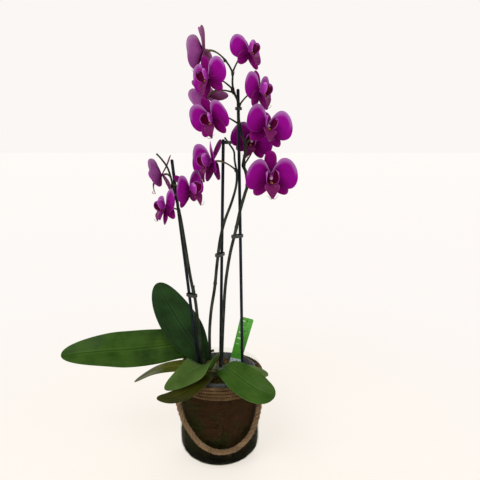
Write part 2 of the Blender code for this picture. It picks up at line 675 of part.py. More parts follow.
SPIKES = {
    "left": (
        [(-0.0205, -0.0090, 0.1560), (-0.026, -0.0080, 0.170), (-0.030, -0.006, 0.191),
         (-0.034, -0.005, 0.236), (-0.037, -0.005, 0.267), (-0.042, -0.005, 0.293),
         (-0.047, -0.005, 0.325), (-0.056, -0.005, 0.393), (-0.061, -0.005, 0.418),
         (-0.067, -0.005, 0.445), (-0.070, -0.005, 0.460), (-0.075, -0.005, 0.476),
         (-0.083, -0.005, 0.488), (-0.091, -0.005, 0.497)],
        {"flower_11": (-0.0675, -0.005, 0.447), "flower_12": (-0.068, -0.005, 0.451),
         "flower_13": (-0.0595, -0.005, 0.411)}),
    "middle": (
        [(-0.0115, -0.0020, 0.1560), (-0.0145, -0.0050, 0.171), (-0.015, -0.005, 0.210),
         (-0.012, -0.005, 0.249), (-0.006, -0.005, 0.287), (-0.002, -0.005, 0.325),
         (0.003, -0.005, 0.363), (0.010, -0.006, 0.393), (0.021, -0.006, 0.423),
         (0.028, -0.006, 0.448), (0.029, -0.006, 0.468), (0.026, -0.006, 0.487),
         (0.025, -0.006, 0.500), (0.019, -0.006, 0.510), (0.011, -0.006, 0.521)],
        {"flower_07": (0.0285, -0.006, 0.472)}),
    "right": (
        [(0.0045, -0.0060, 0.1560), (0.0045, -0.0035, 0.167), (0.006, -0.002, 0.209),
         (0.008, -0.002, 0.248), (0.010, -0.002, 0.280), (0.013, -0.002, 0.308),
         (0.019, -0.001, 0.344), (0.027, 0.0, 0.377), (0.034, 0.0, 0.409),
         (0.041, 0.0, 0.434), (0.045, 0.0, 0.449), (0.043, 0.0, 0.468),
         (0.039, 0.0, 0.480), (0.042, 0.0, 0.499), (0.042, 0.0, 0.511),
         (0.038, 0.0, 0.522), (0.034, 0.0, 0.537), (0.032, 0.0, 0.550),
         (0.032, 0.0, 0.564), (0.030, 0.0, 0.575), (0.025, 0.0, 0.586),
         (0.023, 0.0, 0.598), (0.023, 0.0, 0.612), (0.019, 0.0, 0.622),
         (0.011, 0.0, 0.633)],
        {"flower_01": (0.013, 0.0, 0.6305), "flower_02": (0.0225, 0.0, 0.612),
         "flower_03": (0.0235, 0.0, 0.590), "flower_04": (0.0255, 0.0, 0.585),
         "flower_05": (0.032, 0.0, 0.566),
         "flower_06": (0.0335, 0.0, 0.539), "flower_08": (0.0395, 0.0, 0.4790),
         "flower_09": (0.042, 0.0, 0.511), "flower_10": (0.045, 0.0, 0.449)}),
}

for side, (stem_route, stalks) in SPIKES.items():
    SPIKES[side] = (
        [(x, y, z + RISE) for x, y, z in stem_route],
        {flower_name: (x, y, z + RISE) for flower_name, (x, y, z) in stalks.items()},
    )

for side, (stem_route, stalks) in SPIKES.items():
    count = round(1.4 * len(stem_route))
    stem_points = smooth_route(stem_route, count)
    top = stem_route[-1][2]
    radii = []
    for point in stem_points:
        near_tip = max(0.0, 1.0 - (top - point.z) / 0.16)
        radii.append(STEM_RADIUS + (STEM_TIP_RADIUS - STEM_RADIUS) * near_tip)
    stem = tube("stem", stem_points, radii, STEM_GREEN, 1)
    bodies = [baked(stem, "stem", STEM_GREEN)]
    for flower_name, start in stalks.items():
        end, back = pedicel_end(flower_name)
        start = Vector(start)
        reach = (end - start).length
        droop = -0.35 if start.z < end.z - 0.03 else 0.08
        bend = end + back * reach * (0.80 if droop < 0.0 else 0.40) + Vector((0.0, 0.0, reach * droop))
        stalk_points = []
        for i in range(5):
            t = i / 4
            point = start * (1 - t) ** 2 + bend * (2 * t * (1 - t)) + end * t ** 2
            stalk_points.append(point)
        stalk = tube("stalk", stalk_points, [PEDICEL_RADIUS] * 5, STEM_GREEN, 0)
        bodies.append(baked(stalk, "stalk", STEM_GREEN))
    spike = joined("flower_spike_" + side, bodies, STEM_GREEN)
    shade(spike, 60.0)


# ------------------------------------------------------------------ plastic clips
def stem_point(side, height):
    """Point on a spike's main stem at a height."""
    stem_route = SPIKES[side][0]
    best = min(
        (spline_point(stem_route, i / 600) for i in range(601)),
        key=lambda point: abs(point.z - height),
    )
    return best


def loop_outline(reach, radius, steps=5):
    """Stadium round two centres: (0, 0) and (reach, 0)."""
    outline = []
    for i in range(steps + 1):
        turn = math.radians(90.0 + 180.0 * i / steps)
        outline.append((radius * math.cos(turn), radius * math.sin(turn)))
    for i in range(steps + 1):
        turn = math.radians(-90.0 + 180.0 * i / steps)
        outline.append((reach + radius * math.cos(turn), radius * math.sin(turn)))
    return outline


CLIPS = {
    "clip_left_lower": ("left", 0.274), "clip_left_upper": ("left", 0.436),
    "clip_middle_lower": ("middle", 0.340), "clip_middle_upper": ("middle", 0.5135),
    "clip_right_lower": ("right", 0.369), "clip_right_upper": ("right", 0.5625),
}
CLIP_DROP = 8.0 * (STEM_RADIUS - 0.0025)     # thicker stems carry their wider clips lower
for clip_name, (side, height) in CLIPS.items():
    height += RISE - CLIP_DROP
    at_stake = stake_point(side, height)
    at_stem = stem_point(side, height)
    at_stem.z = height
    across = at_stem - at_stake
    reach = across.length
    across.normalize()
    up = Vector((0.0, 0.0, 1.0))
    forth = up.cross(across)
    frame = Matrix((
        (across.x, forth.x, up.x, at_stake.x),
        (across.y, forth.y, up.y, at_stake.y),
        (across.z, forth.z, up.z, at_stake.z),
        (0.0, 0.0, 0.0, 1.0),
    ))
    bore = STEM_RADIUS + CLIP_CLEARANCE + 0.0003
    outlines = [loop_outline(reach, bore + CLIP_WALL), loop_outline(reach, bore)]
    clip = flat_shape(clip_name, outlines, CLIP_HEIGHT, frame, STAKE_BLACK)
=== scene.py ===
"""Moth orchid in a glass jar: the finished plant, dressed over its fixed frame."""
import math
import random

import bmesh
import bpy
from mathutils import Matrix, Vector, noise


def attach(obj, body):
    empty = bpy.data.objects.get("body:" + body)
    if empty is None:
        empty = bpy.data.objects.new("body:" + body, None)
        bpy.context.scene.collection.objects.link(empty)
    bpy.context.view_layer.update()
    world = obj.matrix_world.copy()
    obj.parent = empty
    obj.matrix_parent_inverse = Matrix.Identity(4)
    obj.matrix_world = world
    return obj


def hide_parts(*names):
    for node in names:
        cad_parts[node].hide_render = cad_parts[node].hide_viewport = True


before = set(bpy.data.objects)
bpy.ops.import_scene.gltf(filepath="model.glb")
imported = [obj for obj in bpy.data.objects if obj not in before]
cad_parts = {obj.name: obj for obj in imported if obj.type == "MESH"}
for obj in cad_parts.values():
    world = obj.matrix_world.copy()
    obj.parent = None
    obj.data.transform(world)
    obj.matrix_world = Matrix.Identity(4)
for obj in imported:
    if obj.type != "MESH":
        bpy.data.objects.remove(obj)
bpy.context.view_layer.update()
scene = bpy.context.scene
scene.view_settings.view_transform = "Standard"


def placed(name, data):
    """Object for a mesh, a curve, a light or a camera, put into the scene."""
    piece = bpy.data.objects.new(name, data)
    scene.collection.objects.link(piece)
    return piece


# ------------------------------------------------------------------ camera
# Eye level with the upper flowers, looking slightly down on the jar from the
# side that the flowers face.
camera_data = bpy.data.cameras.new("camera")
camera_data.lens = 42.0
camera_data.sensor_width = 36.0
camera = placed("camera", camera_data)
camera.location = (0.034, -0.85, 0.558)
camera.rotation_euler = (math.radians(90.0 - 12.9), 0.0, 0.0)
scene.camera = camera

# ------------------------------------------------------------- rope handle
# The handle is jute rope of three strands, each laid from three yarns the
# other way round.  It hangs in a loop on the jar's front, its ends tucked up
# under the winding round the neck.
JAR_RADIUS = 0.066
HANDLE_RADIUS = 0.0046
HANDLE_ROUTE = [             # (degrees round the jar from the front, height)
    (-74.0, 0.1215), (-68.5, 0.1050), (-59.5, 0.0905), (-46.0, 0.0735), (-25.0, 0.0520),
    (-8.0, 0.0420), (6.0, 0.0395), (22.0, 0.0420), (40.0, 0.0530), (54.0, 0.0700),
    (63.0, 0.0880), (68.0, 0.1060), (71.0, 0.1215),
]


class Wire:
    """Output of a node that takes part in sums as a number does."""

    def __init__(self, tree, socket):
        self.tree = tree
        self.socket = socket

    def node(self, kind, settings=None, inputs=None, output=0):
        """Add a node: its type, its settings, then the values or links of its sockets."""
        made = self.tree.nodes.new(kind)
        for name, value in (settings or {}).items():
            setattr(made, name, value)
        for name, value in (inputs or {}).items():
            if isinstance(value, Wire):
                self.tree.links.new(value.socket, made.inputs[name])
            else:
                made.inputs[name].default_value = value
        return Wire(self.tree, made.outputs[output])

    def out(self, name):
        """Another output of the same node."""
        return Wire(self.tree, self.socket.node.outputs[name])

    def math(self, operation, *others):
        """Math node on this value and any others."""
        return self.node(
            "ShaderNodeMath", {"operation": operation}, dict(enumerate((self, *others))))

    def __add__(self, other):
        return self.math("ADD", other)

    def __sub__(self, other):
        return self.math("SUBTRACT", other)

    def __rsub__(self, other):
        return self.node("ShaderNodeMath", {"operation": "SUBTRACT"}, {0: other, 1: self})

    def __mul__(self, other):
        return self.math("MULTIPLY", other)

    def __truediv__(self, other):
        return self.math("DIVIDE", other)

    def __pow__(self, other):
        return self.math("POWER", other)

    def size(self):
        return self.math("ABSOLUTE")

    def ease(self, low, high, start=0.0, end=1.0):
        """Smooth step from start at low to end at high."""
        return self.node(
            "ShaderNodeMapRange", {"interpolation_type": "SMOOTHSTEP"},
            {0: self, 1: low, 2: high, 3: start, 4: end},
        )

    def blend(self, first, second):
        """Colour between first (0) and second (1) by this value."""
        first = (*first, 1.0) if isinstance(first, tuple) else first
        second = (*second, 1.0) if isinstance(second, tuple) else second
        return self.node("ShaderNodeMix", {"data_type": "RGBA"}, {0: self, 6: first, 7: second}, 2)

    def ramp(self, stops):
        """Colour by this value, from stops of a place and a colour."""
        made = self.node("ShaderNodeValToRGB", {}, {0: self})
        elements = made.socket.node.color_ramp.elements
        while len(elements) < len(stops):
            elements.new(0.5)
        for element, (place, colour) in zip(elements, stops):
            element.position = place
            element.color = (*colour, 1.0)
        return made

    def axis(self, name):
        """One coordinate of this vector."""
        return self.node("ShaderNodeSeparateXYZ", {}, {0: self}, name)

    def vector(self, operation, other, output=0):
        """Vector Math node on this vector and another, or a Scale value."""
        inputs = {0: self, 3 if operation == "SCALE" else 1: other}
        return self.node("ShaderNodeVectorMath", {"operation": operation}, inputs, output)


class Finish:
    """A material with a Principled shader, and a start for its nodes."""

    def __init__(self, name, roughness=0.5, **values):
        self.material = bpy.data.materials.new(name)
        self.material.use_nodes = True
        self.tree = self.material.node_tree
        self.shader = self.tree.nodes["Principled BSDF"]
        self.shader.inputs["Roughness"].default_value = roughness
        for key, value in values.items():
            self.shader.inputs[key.replace("_", " ")].default_value = value
        self.place = Wire(self.tree, self.tree.nodes.new("ShaderNodeTexCoord").outputs["Object"])

    def grain(self, scale, detail=3.0, coords=None, roughness=0.5):
        """Noise over the piece, 0 to 1; coords may be a stretch of its place."""
        if isinstance(coords, tuple):
            coords = self.place.vector("MULTIPLY", coords)
        return self.place.node(
            "ShaderNodeTexNoise", {},
            {"Vector": coords or self.place, "Scale": scale, "Detail": detail,
             "Roughness": roughness})

    def attribute(self, name):
        return self.place.node("ShaderNodeAttribute", {"attribute_name": name}, {}, "Fac")

    def sheet(self, name="blade"):
        """Coordinates across and along a flat piece, 0 to 1."""
        return self.place.node("ShaderNodeUVMap", {"uv_map": name})

    def colour(self, wire):
        self.tree.links.new(wire.socket, self.shader.inputs["Base Color"])

    def roughness(self, wire):
        self.tree.links.new(wire.socket, self.shader.inputs["Roughness"])

    def relief(self, height, distance, strength=1.0):
        """Bump from a height wire, its full step in metres."""
        bump = self.place.node(
            "ShaderNodeBump", {}, {"Height": height, "Distance": distance, "Strength": strength})
        self.tree.links.new(bump.socket, self.shader.inputs["Normal"])

    def surface(self, share, first, second):
        """Mix two shaders and show the mix in place of the plain one."""
        mixed = self.place.node("ShaderNodeMixShader", {}, {0: share, 1: first, 2: second})
        output = self.tree.nodes["Material Output"]
        self.tree.links.new(mixed.socket, output.inputs["Surface"])


def spline_point(points, t):
    """Point at parameter t (0..1) on a Catmull-Rom curve through the points."""
    count = len(points) - 1
    span = min(int(t * count), count - 1)
    local = t * count - span
    p1 = Vector(points[span])
    p2 = Vector(points[span + 1])
    p0 = Vector(points[span - 1]) if span > 0 else p1 * 2 - p2
    p3 = Vector(points[span + 2]) if span + 2 <= count else p2 * 2 - p1
    return 0.5 * (
        p1 * 2
        + (p2 - p0) * local
        + (p0 * 2 - p1 * 5 + p2 * 4 - p3) * local ** 2
        + (p1 * 3 - p0 - p2 * 3 + p3) * local ** 3
    )


def route_curve(name, points):
    """Open 3-D polyline that a piece is laid along."""
    curve = bpy.data.curves.new(name, "CURVE")
    curve.dimensions = "3D"
    line = curve.splines.new("POLY")
    line.points.add(len(points) - 1)
    for stop, point in zip(line.points, points):
        stop.co = (*point, 1.0)
    return placed(name, curve)


def node_tree(name, sockets):
    """Geometry node group with named inputs; gives its tree and a start wire."""
    tree = bpy.data.node_groups.new(name, "GeometryNodeTree")
    tree.interface.new_socket("Geometry", in_out="INPUT", socket_type="NodeSocketGeometry")
    tree.interface.new_socket("Geometry", in_out="OUTPUT", socket_type="NodeSocketGeometry")
    for socket_name, kind in sockets.items():
        tree.interface.new_socket(socket_name, in_out="INPUT", socket_type="NodeSocket" + kind)
    entry = tree.nodes.new("NodeGroupInput")
    return tree, Wire(tree, entry.outputs["Geometry"])


def end_tree(wire):
    """Realize what the tree made, give it its material and close the tree."""
    start = wire.tree.nodes["Group Input"]
    real = wire.node("GeometryNodeRealizeInstances", {}, {0: wire})
    painted = wire.node(
        "GeometryNodeSetMaterial", {},
        {"Geometry": real, "Material": Wire(wire.tree, start.outputs["Material"])})
    leave = wire.tree.nodes.new("NodeGroupOutput")
    wire.tree.links.new(painted.socket, leave.inputs["Geometry"])


def plain(piece, name):
    """Keep a piece's evaluated mesh under a name and drop the piece."""
    bpy.context.view_layer.update()
    graph = bpy.context.evaluated_depsgraph_get()
    mesh = bpy.data.meshes.new_from_object(piece.evaluated_get(graph), depsgraph=graph)
    bpy.data.objects.remove(piece, do_unlink=True)
    return placed(name, mesh)


def grown(piece, tree, name, **values):
    """Run a geometry node tree on a piece and keep what it makes as a plain mesh."""
    modifier = piece.modifiers.new("made", "NODES")
    modifier.node_group = tree
    for item in tree.interface.items_tree:
        key = item.name.replace(" ", "_").lower()
        if item.in_out == "INPUT" and key in values:
            modifier[item.identifier] = values[key]
    return plain(piece, name)


LAID_SOCKETS = {
    "Steps": "Int", "Strands": "Int", "Lay radius": "Float", "Lay length": "Float",
    "Yarns": "Int", "Ply radius": "Float", "Ply length": "Float", "Yarn radius": "Float",
    "Sides": "Int", "Material": "Material",
}
laid_tree, route = node_tree("laid_rope", LAID_SOCKETS)
steps = route.node("GeometryNodeResampleCurve", {}, {"Curve": route, "Count": route.out("Steps")})
copies = route.node(
    "GeometryNodeDuplicateElements", {"domain": "SPLINE"},
    {"Geometry": steps, "Amount": route.out("Strands") * route.out("Yarns")})
index = copies.out("Duplicate Index")
strand = (index / route.out("Yarns")).math("FLOOR")
yarn = index - strand * route.out("Yarns")
length = route.node("GeometryNodeSplineParameter", {}, {}, "Length")
normal = route.node("GeometryNodeInputNormal")
tangent = route.node("GeometryNodeInputTangent")
side = tangent.vector("CROSS_PRODUCT", normal)
lay_turn = length * math.tau / route.out("Lay length") + strand * math.tau / route.out("Strands")
ply_turn = yarn * math.tau / route.out("Yarns") - length * math.tau / route.out("Ply length")
reach_n = route.out("Lay radius") * lay_turn.math("COSINE")
reach_n = reach_n + route.out("Ply radius") * ply_turn.math("COSINE")
reach_s = route.out("Lay radius") * lay_turn.math("SINE")
reach_s = reach_s + route.out("Ply radius") * ply_turn.math("SINE")
offset = normal.vector("SCALE", reach_n).vector("ADD", side.vector("SCALE", reach_s))
moved = route.node("GeometryNodeSetPosition", {}, {"Geometry": copies, "Offset": offset})
marked = moved
for mark, value in (("along", length), ("yarn", index)):
    marked = route.node(
        "GeometryNodeStoreNamedAttribute", {"data_type": "FLOAT", "domain": "POINT"},
        {"Geometry": marked, "Name": mark, "Value": value})
circle = route.node(
    "GeometryNodeCurvePrimitiveCircle", {},
    {"Resolution": route.out("Sides"), "Radius": route.out("Yarn radius")})
end_tree(route.node(
    "GeometryNodeCurveToMesh", {},
    {"Curve": marked, "Profile Curve": circle, "Fill Caps": True}))

# Short loose fibres that stand off a rope's or a moss's surface.
FUZZ_SOCKETS = {
    "Count": "Float", "Length": "Float", "Thickness": "Float", "Lean": "Float",
    "Seed": "Int", "Material": "Material",
}
fuzz_tree, skin = node_tree("loose_fibres", FUZZ_SOCKETS)
spots = skin.node(
    "GeometryNodeDistributePointsOnFaces", {},
    {"Mesh": skin, "Density": skin.out("Count"), "Seed": skin.out("Seed")})
hair_line = skin.node(
    "GeometryNodeCurveQuadraticBezier", {},
    {"Resolution": 4, "Start": (0.0, 0.0, 0.0), "Middle": (0.35, 0.0, 0.35),
     "End": (0.9, 0.3, 0.45)})
hair_ring = skin.node(
    "GeometryNodeCurvePrimitiveCircle", {},
    {"Resolution": 3, "Radius": skin.out("Thickness") / skin.out("Length")})
hair = skin.node(
    "GeometryNodeCurveToMesh", {},
    {"Curve": hair_line, "Profile Curve": hair_ring, "Fill Caps": True})
spin = skin.node(
    "FunctionNodeRandomValue", {"data_type": "FLOAT_VECTOR"},
    {"Min": (-1.0, -1.0, -1.0), "Max": (1.0, 1.0, 1.0), "Seed": skin.out("Seed")})
heading = spots.out("Normal").vector("ADD", spin.vector("SCALE", skin.out("Lean")))
stand = skin.node("FunctionNodeAlignRotationToVector", {"axis": "Z"}, {"Vector": heading})
swing, scale, tint = (
    skin.node(
        "FunctionNodeRandomValue", {"data_type": "FLOAT"},
        {2: low, 3: high, "Seed": skin.out("Seed") + step}, 1)
    for low, high, step in ((0.0, 6.283, 3.0), (0.45, 1.0, 7.0), (0.0, 1.0, 11.0)))
twist = skin.node("FunctionNodeAxisAngleToRotation", {}, {"Axis": (0.0, 0.0, 1.0), "Angle": swing})
turned_hair = skin.node(
    "FunctionNodeRotateRotation", {"rotation_space": "LOCAL"},
    {"Rotation": stand, "Rotate By": twist})
marked_spots = skin.node(
    "GeometryNodeStoreNamedAttribute", {"data_type": "FLOAT", "domain": "POINT"},
    {"Geometry": spots, "Name": "tint", "Value": tint})
end_tree(skin.node(
    "GeometryNodeInstanceOnPoints", {},
    {"Points": marked_spots, "Instance": hair, "Rotation": turned_hair,
     "Scale": scale * skin.out("Length")}))


def jute_finish(name, dark, light):
    """Flecked jute, with painted shade in bands where the yarns twist under one another."""
    jute = Finish(name, 0.92, Specular_IOR_Level=0.05)
    twist_line = (jute.attribute("along") * 2600.0 + jute.attribute("yarn") * 2.1).math("SINE")
    fleck = jute.grain(900.0, 4.0)
    patch = jute.grain(60.0, 2.0)
    # twist_line darkens the tone in bands along the rope: painted shade between the yarns.
    tone = (fleck * 0.80 + twist_line * 0.14 + patch * 0.45).ease(0.36, 0.92)
    jute.colour(tone.blend(dark, light))
    jute.relief(fleck + twist_line * 0.3, 0.0004, 0.9)
    return jute.material


JUTE = jute_finish("jute", (0.050, 0.029, 0.013), (0.440, 0.285, 0.158))
JUTE_HAIR = jute_finish("jute_hair", (0.130, 0.082, 0.042), (0.460, 0.315, 0.182))
handle_reach = JAR_RADIUS + 0.0008 + HANDLE_RADIUS
handle_route = []
for degrees, height in HANDLE_ROUTE:
    angle = math.radians(degrees)
    handle_route.append((handle_reach * math.sin(angle), -handle_reach * math.cos(angle), height))
handle_points = [spline_point(handle_route, i / 119) for i in range(120)]
handle = grown(
    route_curve("handle_route", handle_points), laid_tree, "rope_handle_strands",
    steps=420, strands=3, lay_radius=0.0024, lay_length=0.024, yarns=3, ply_radius=0.00115,
    ply_length=0.011, yarn_radius=0.00108, sides=7, material=JUTE)
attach(handle, "root")
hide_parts("rope_handle")


def fibres(source, name, **values):
    """Loose fibres over a copy of a piece's mesh."""
    return grown(placed("skin", source.data.copy()), fuzz_tree, name, **values)


handle_fuzz = fibres(
    handle, "rope_handle_fuzz", count=60000.0, length=0.0045, thickness=0.00006, lean=0.9,
    seed=4, material=JUTE_HAIR)
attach(handle_fuzz, "root")
handle_length = sum((b - a).length for a, b in zip(handle_points, handle_points[1:]))

# ------------------------------------------------------------ neck winding
# Four turns of the same jute, thinner, are wound tight round the jar's neck
# and hold the handle's ends.  Their jute has darker tones than the handle's:
# painted shade from the leaves that hang over the neck.
TWINE_RADIUS = 0.0026
COLLAR_TURNS = 4
COLLAR_PITCH = 0.0056
COLLAR_TOP_Z = 0.1505
winding_radius = JAR_RADIUS + 0.0003 + TWINE_RADIUS
# Darker copy of the jute: painted shade from the leaves over the neck.
winding_jute_shaded = jute_finish("jute_winding", (0.022, 0.012, 0.004), (0.270, 0.160, 0.074))
winding_points = []
for i in range(COLLAR_TURNS * 48 + 1):
    angle = math.tau * i / 48 + math.radians(100.0)
    height = COLLAR_TOP_Z - TWINE_RADIUS - COLLAR_PITCH * i / 48
    winding_points.append(
        (winding_radius * math.cos(angle), winding_radius * math.sin(angle), height))
winding = grown(
    route_curve("winding_route", winding_points), laid_tree, "neck_winding",
    steps=1500, strands=3, lay_radius=0.00135, lay_length=0.0125, yarns=2, ply_radius=0.00052,
    ply_length=0.007, yarn_radius=0.00078, sides=5, material=winding_jute_shaded)
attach(winding, "root")
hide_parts("rope_collar")
winding_fuzz = fibres(
    winding, "neck_winding_fuzz", count=18000.0, length=0.0035, thickness=0.00005, lean=0.9,
    seed=9, material=JUTE_HAIR)
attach(winding_fuzz, "root")

# --------------------------------------------------------------- glass jar
# Clear pressed glass, 3 mm thick at its fire-polished rim, with a wide rounded
# foot.  Thick glass makes its filling look as wide as the jar, so below the rim
# only a thin skin of it stands in front of the moss.
JAR_HEIGHT = 0.156
JAR_WALL = 0.003
JAR_FOOT_FILLET = 0.024
GLASS_SKIN = 0.0007
LINING_TOP_Z = 0.140
GAP = 0.0003                 # between pieces that touch


def meshed(name, work, *materials):
    """Piece from a bmesh, which it frees, and its materials."""
    mesh = bpy.data.meshes.new(name)
    work.to_mesh(mesh)
    work.free()
    for item in materials:
        mesh.materials.append(item)
    return placed(name, mesh)


def turned(name, profile, segments, material):
    """Solid of revolution from a profile of (radius, height) points."""
    work = bmesh.new()
    verts = [work.verts.new((radius, 0.0, height)) for radius, height in profile]
    edges = [work.edges.new(pair) for pair in zip(verts, verts[1:])]
    bmesh.ops.spin(
        work, geom=verts + edges, cent=(0.0, 0.0, 0.0), axis=(0.0, 0.0, 1.0),
        angle=math.tau, steps=segments, use_merge=True)
    bmesh.ops.remove_doubles(work, verts=work.verts, dist=0.000005)
    bmesh.ops.recalc_face_normals(work, faces=work.faces)
    piece = meshed(name, work, material)
    piece.data.shade_smooth()
    piece.data.set_sharp_from_angle(angle=math.radians(50.0))
    return piece


def foot_arc(radius, fillet, steps=16):
    """Rounded foot from the wall down to the flat underside."""
    arc = []
    for i in range(steps + 1):
        turn = math.radians(90.0) * i / steps
        arc.append((radius - fillet + fillet * math.cos(turn), fillet - fillet * math.sin(turn)))
    return arc


glass = Finish("jar_glass", 0.04)
facing = glass.place.node("ShaderNodeLayerWeight", {}, {"Blend": 0.5}, "Facing")
clear = glass.place.node("ShaderNodeBsdfTransparent", {}, {"Color": (0.95, 0.96, 0.94, 1.0)})
shine = glass.place.node(
    "ShaderNodeBsdfAnisotropic", {}, {"Color": (0.62, 0.65, 0.62, 1.0), "Roughness": 0.05})
glass.surface(facing ** 6.0 * 0.14 + 0.002, clear, shine)

inner_radius = JAR_RADIUS - JAR_WALL
inside_arc = [
    (r, z + GLASS_SKIN) for r, z in foot_arc(JAR_RADIUS - GLASS_SKIN, JAR_FOOT_FILLET - GLASS_SKIN)]
rim = [
    (JAR_RADIUS - JAR_WALL / 2 - JAR_WALL / 2 * math.cos(turn),
     JAR_HEIGHT - JAR_WALL / 2 + JAR_WALL / 2 * math.sin(turn))
    for turn in (math.pi * i / 8 for i in range(9))]
jar_profile = [(0.0, GLASS_SKIN)] + inside_arc[::-1]
jar_profile += [(JAR_RADIUS - GLASS_SKIN, LINING_TOP_Z), (inner_radius, LINING_TOP_Z + 0.0015)]
jar_profile += rim + foot_arc(JAR_RADIUS, JAR_FOOT_FILLET)
jar_profile.append((0.0, 0.0))
jar = turned("jar_wall", jar_profile, 96, glass.material)
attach(jar, "root")
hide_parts("glass_jar")

# ------------------------------------------------------------- moss lining
# Moss and coir are packed between the glass and the nursery pot: brown and
# reddish fibre at the neck, olive moss below, near black at the foot, where the
# darkening is painted shade for the thick glass foot's dark reflection.
POT_RIM_RADIUS = 0.0595
POT_FOOT_RADIUS = 0.045
POT_LIP_DEPTH = 0.0012
POT_FOOT_Z = 0.019


def lining_tone(finish, drift):
    """Colour of packed moss by height and by patch, with painted shade near the foot, and its fibre
    pattern.
    """
    height = finish.place.axis("Z")
    # foot_shade darkens the moss towards the jar's foot: painted shade for the dark reflection in
    # the thick glass foot.
    foot_shade = (height + (finish.grain(22.0, 3.0) - 0.5) * 0.070).ease(0.014, 0.075)
    patches = finish.grain(34.0, 4.0)
    strands = finish.grain(620.0, 5.0, (1.0, 1.0, 0.7), 0.70)
    olive = (patches + (0.075 - height) * 3.0 - finish.place.axis("X") * 2.0).ease(0.42, 0.66)
    lit = (strands + drift).ease(0.38, 0.68)
    red = lit.blend((0.003, 0.0015, 0.0004), (0.078, 0.034, 0.011))
    green = lit.blend((0.0022, 0.0022, 0.0004), (0.044, 0.042, 0.006))
    dark = (strands + drift).ease(0.45, 0.85).blend(
        (0.0010, 0.0010, 0.0004), (0.012, 0.011, 0.003))
    return foot_shade.blend(dark, olive.blend(red, green)), strands


moss = Finish("moss_lining", 0.95, Specular_IOR_Level=0.05)
moss_colour, moss_strands = lining_tone(moss, 0.0)
moss.colour(moss_colour)
moss.relief(moss_strands, 0.002, 1.0)

moss_outer = [(r - GAP, z + GAP) for r, z in inside_arc]
wall_top = moss_outer[0][1]
moss_wall = [
    (moss_outer[0][0], wall_top + (LINING_TOP_Z - wall_top) * i / 24) for i in range(24, 0, -1)]
moss_profile = (
    [(0.0, POT_FOOT_Z - GAP), (POT_FOOT_RADIUS, POT_FOOT_Z - GAP)]
    + [(POT_RIM_RADIUS - POT_LIP_DEPTH, LINING_TOP_Z - 0.002)]
    + moss_wall + moss_outer + [(0.0, GLASS_SKIN + GAP)]
)
lining = turned("moss_lining", moss_profile, 128, moss.material)
for vert in lining.data.vertices:
    out = Vector((vert.co.x, vert.co.y, 0.0))
    if out.length > 0.001 and vert.co.z > 0.004:
        bulge = noise.fractal(vert.co * 70.0, 0.8, 2.0, 3) - 0.9
        vert.co += out.normalized() * min(0.0, bulge) * 0.0012
        if vert.co.z > LINING_TOP_Z - 0.003:
            vert.co.z += noise.fractal(vert.co * 110.0, 0.8, 2.0, 3) * 0.003
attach(lining, "root")
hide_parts("fibre_lining")

moss_hair = Finish("moss_fibre", 0.9, Specular_IOR_Level=0.05)
# The loose fibres take the same colour, including the painted shade at the foot.
hair_colour = lining_tone(moss_hair, 0.18)[0]
hair_tint = moss_hair.attribute("tint").ease(0.55, 0.95)
moss_hair.colour((hair_tint * 0.60).blend(hair_colour, (0.27, 0.145, 0.050)))
lining_fibres = fibres(
    lining, "moss_lining_fibres", count=42000.0, length=0.0062, thickness=0.00017, lean=3.0,
    seed=21, material=moss_hair.material)


def draw_in(vert, allowed):
    """Bring a point back inside a radius round the jar's axis."""
    out = math.hypot(vert.co.x, vert.co.y)
    if out > allowed:
        vert.co.x *= allowed / out
        vert.co.y *= allowed / out


limit = JAR_RADIUS - GLASS_SKIN - 0.0001
bend = JAR_FOOT_FILLET - GLASS_SKIN - 0.0001
for vert in lining_fibres.data.vertices:
    drop = min(max(0.0, JAR_FOOT_FILLET - vert.co.z), bend)
    allowed = limit - bend + math.sqrt(bend ** 2 - drop ** 2)
    if vert.co.z > LINING_TOP_Z - 0.0005:
        allowed = inner_radius - 0.0002
    draw_in(vert, allowed)
    vert.co.z = max(vert.co.z, GLASS_SKIN + 0.0002)
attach(lining_fibres, "root")

# ------------------------------------------------------------- nursery pot
# Thin grey moulded plastic with a rolled rim, scuffed in tone and roughness all over.
POT_WALL = 0.0012
POT_HEIGHT = 0.130
POT_LIP_HEIGHT = 0.008


def pot_radius(height):
    """Outer radius of the nursery pot's tapered wall."""
    share_up = (height - POT_FOOT_Z) / POT_HEIGHT
    return POT_FOOT_RADIUS + (POT_RIM_RADIUS - POT_LIP_DEPTH - POT_FOOT_RADIUS) * share_up


plastic = Finish("pot_plastic", 0.4)
scuff = plastic.grain(140.0, 5.0)
plastic.colour(scuff.ease(0.35, 0.75).blend((0.050, 0.053, 0.056), (0.115, 0.118, 0.120)))
plastic.roughness(scuff.ease(0.2, 0.8, 0.32, 0.6))
pot_top = POT_FOOT_Z + POT_HEIGHT
pot_profile = [
    (0.0, POT_FOOT_Z + POT_WALL),
    (POT_FOOT_RADIUS - POT_WALL - 0.002, POT_FOOT_Z + POT_WALL),
    (POT_FOOT_RADIUS - POT_WALL, POT_FOOT_Z + POT_WALL + 0.002),
    (pot_radius(pot_top) - POT_WALL, pot_top - 0.0006),
    (pot_radius(pot_top) - POT_WALL + 0.0005, pot_top),
    (POT_RIM_RADIUS - 0.0006, pot_top),
    (POT_RIM_RADIUS, pot_top - 0.0006),
    (POT_RIM_RADIUS, pot_top - POT_LIP_HEIGHT),
    (pot_radius(pot_top - POT_LIP_HEIGHT), pot_top - POT_LIP_HEIGHT - 0.0004),
    (POT_FOOT_RADIUS, POT_FOOT_Z + 0.002),
    (POT_FOOT_RADIUS - 0.002, POT_FOOT_Z),
    (0.0, POT_FOOT_Z),
]
pot = turned("pot_liner", pot_profile, 96, plastic.material)
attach(pot, "root")
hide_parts("nursery_pot")

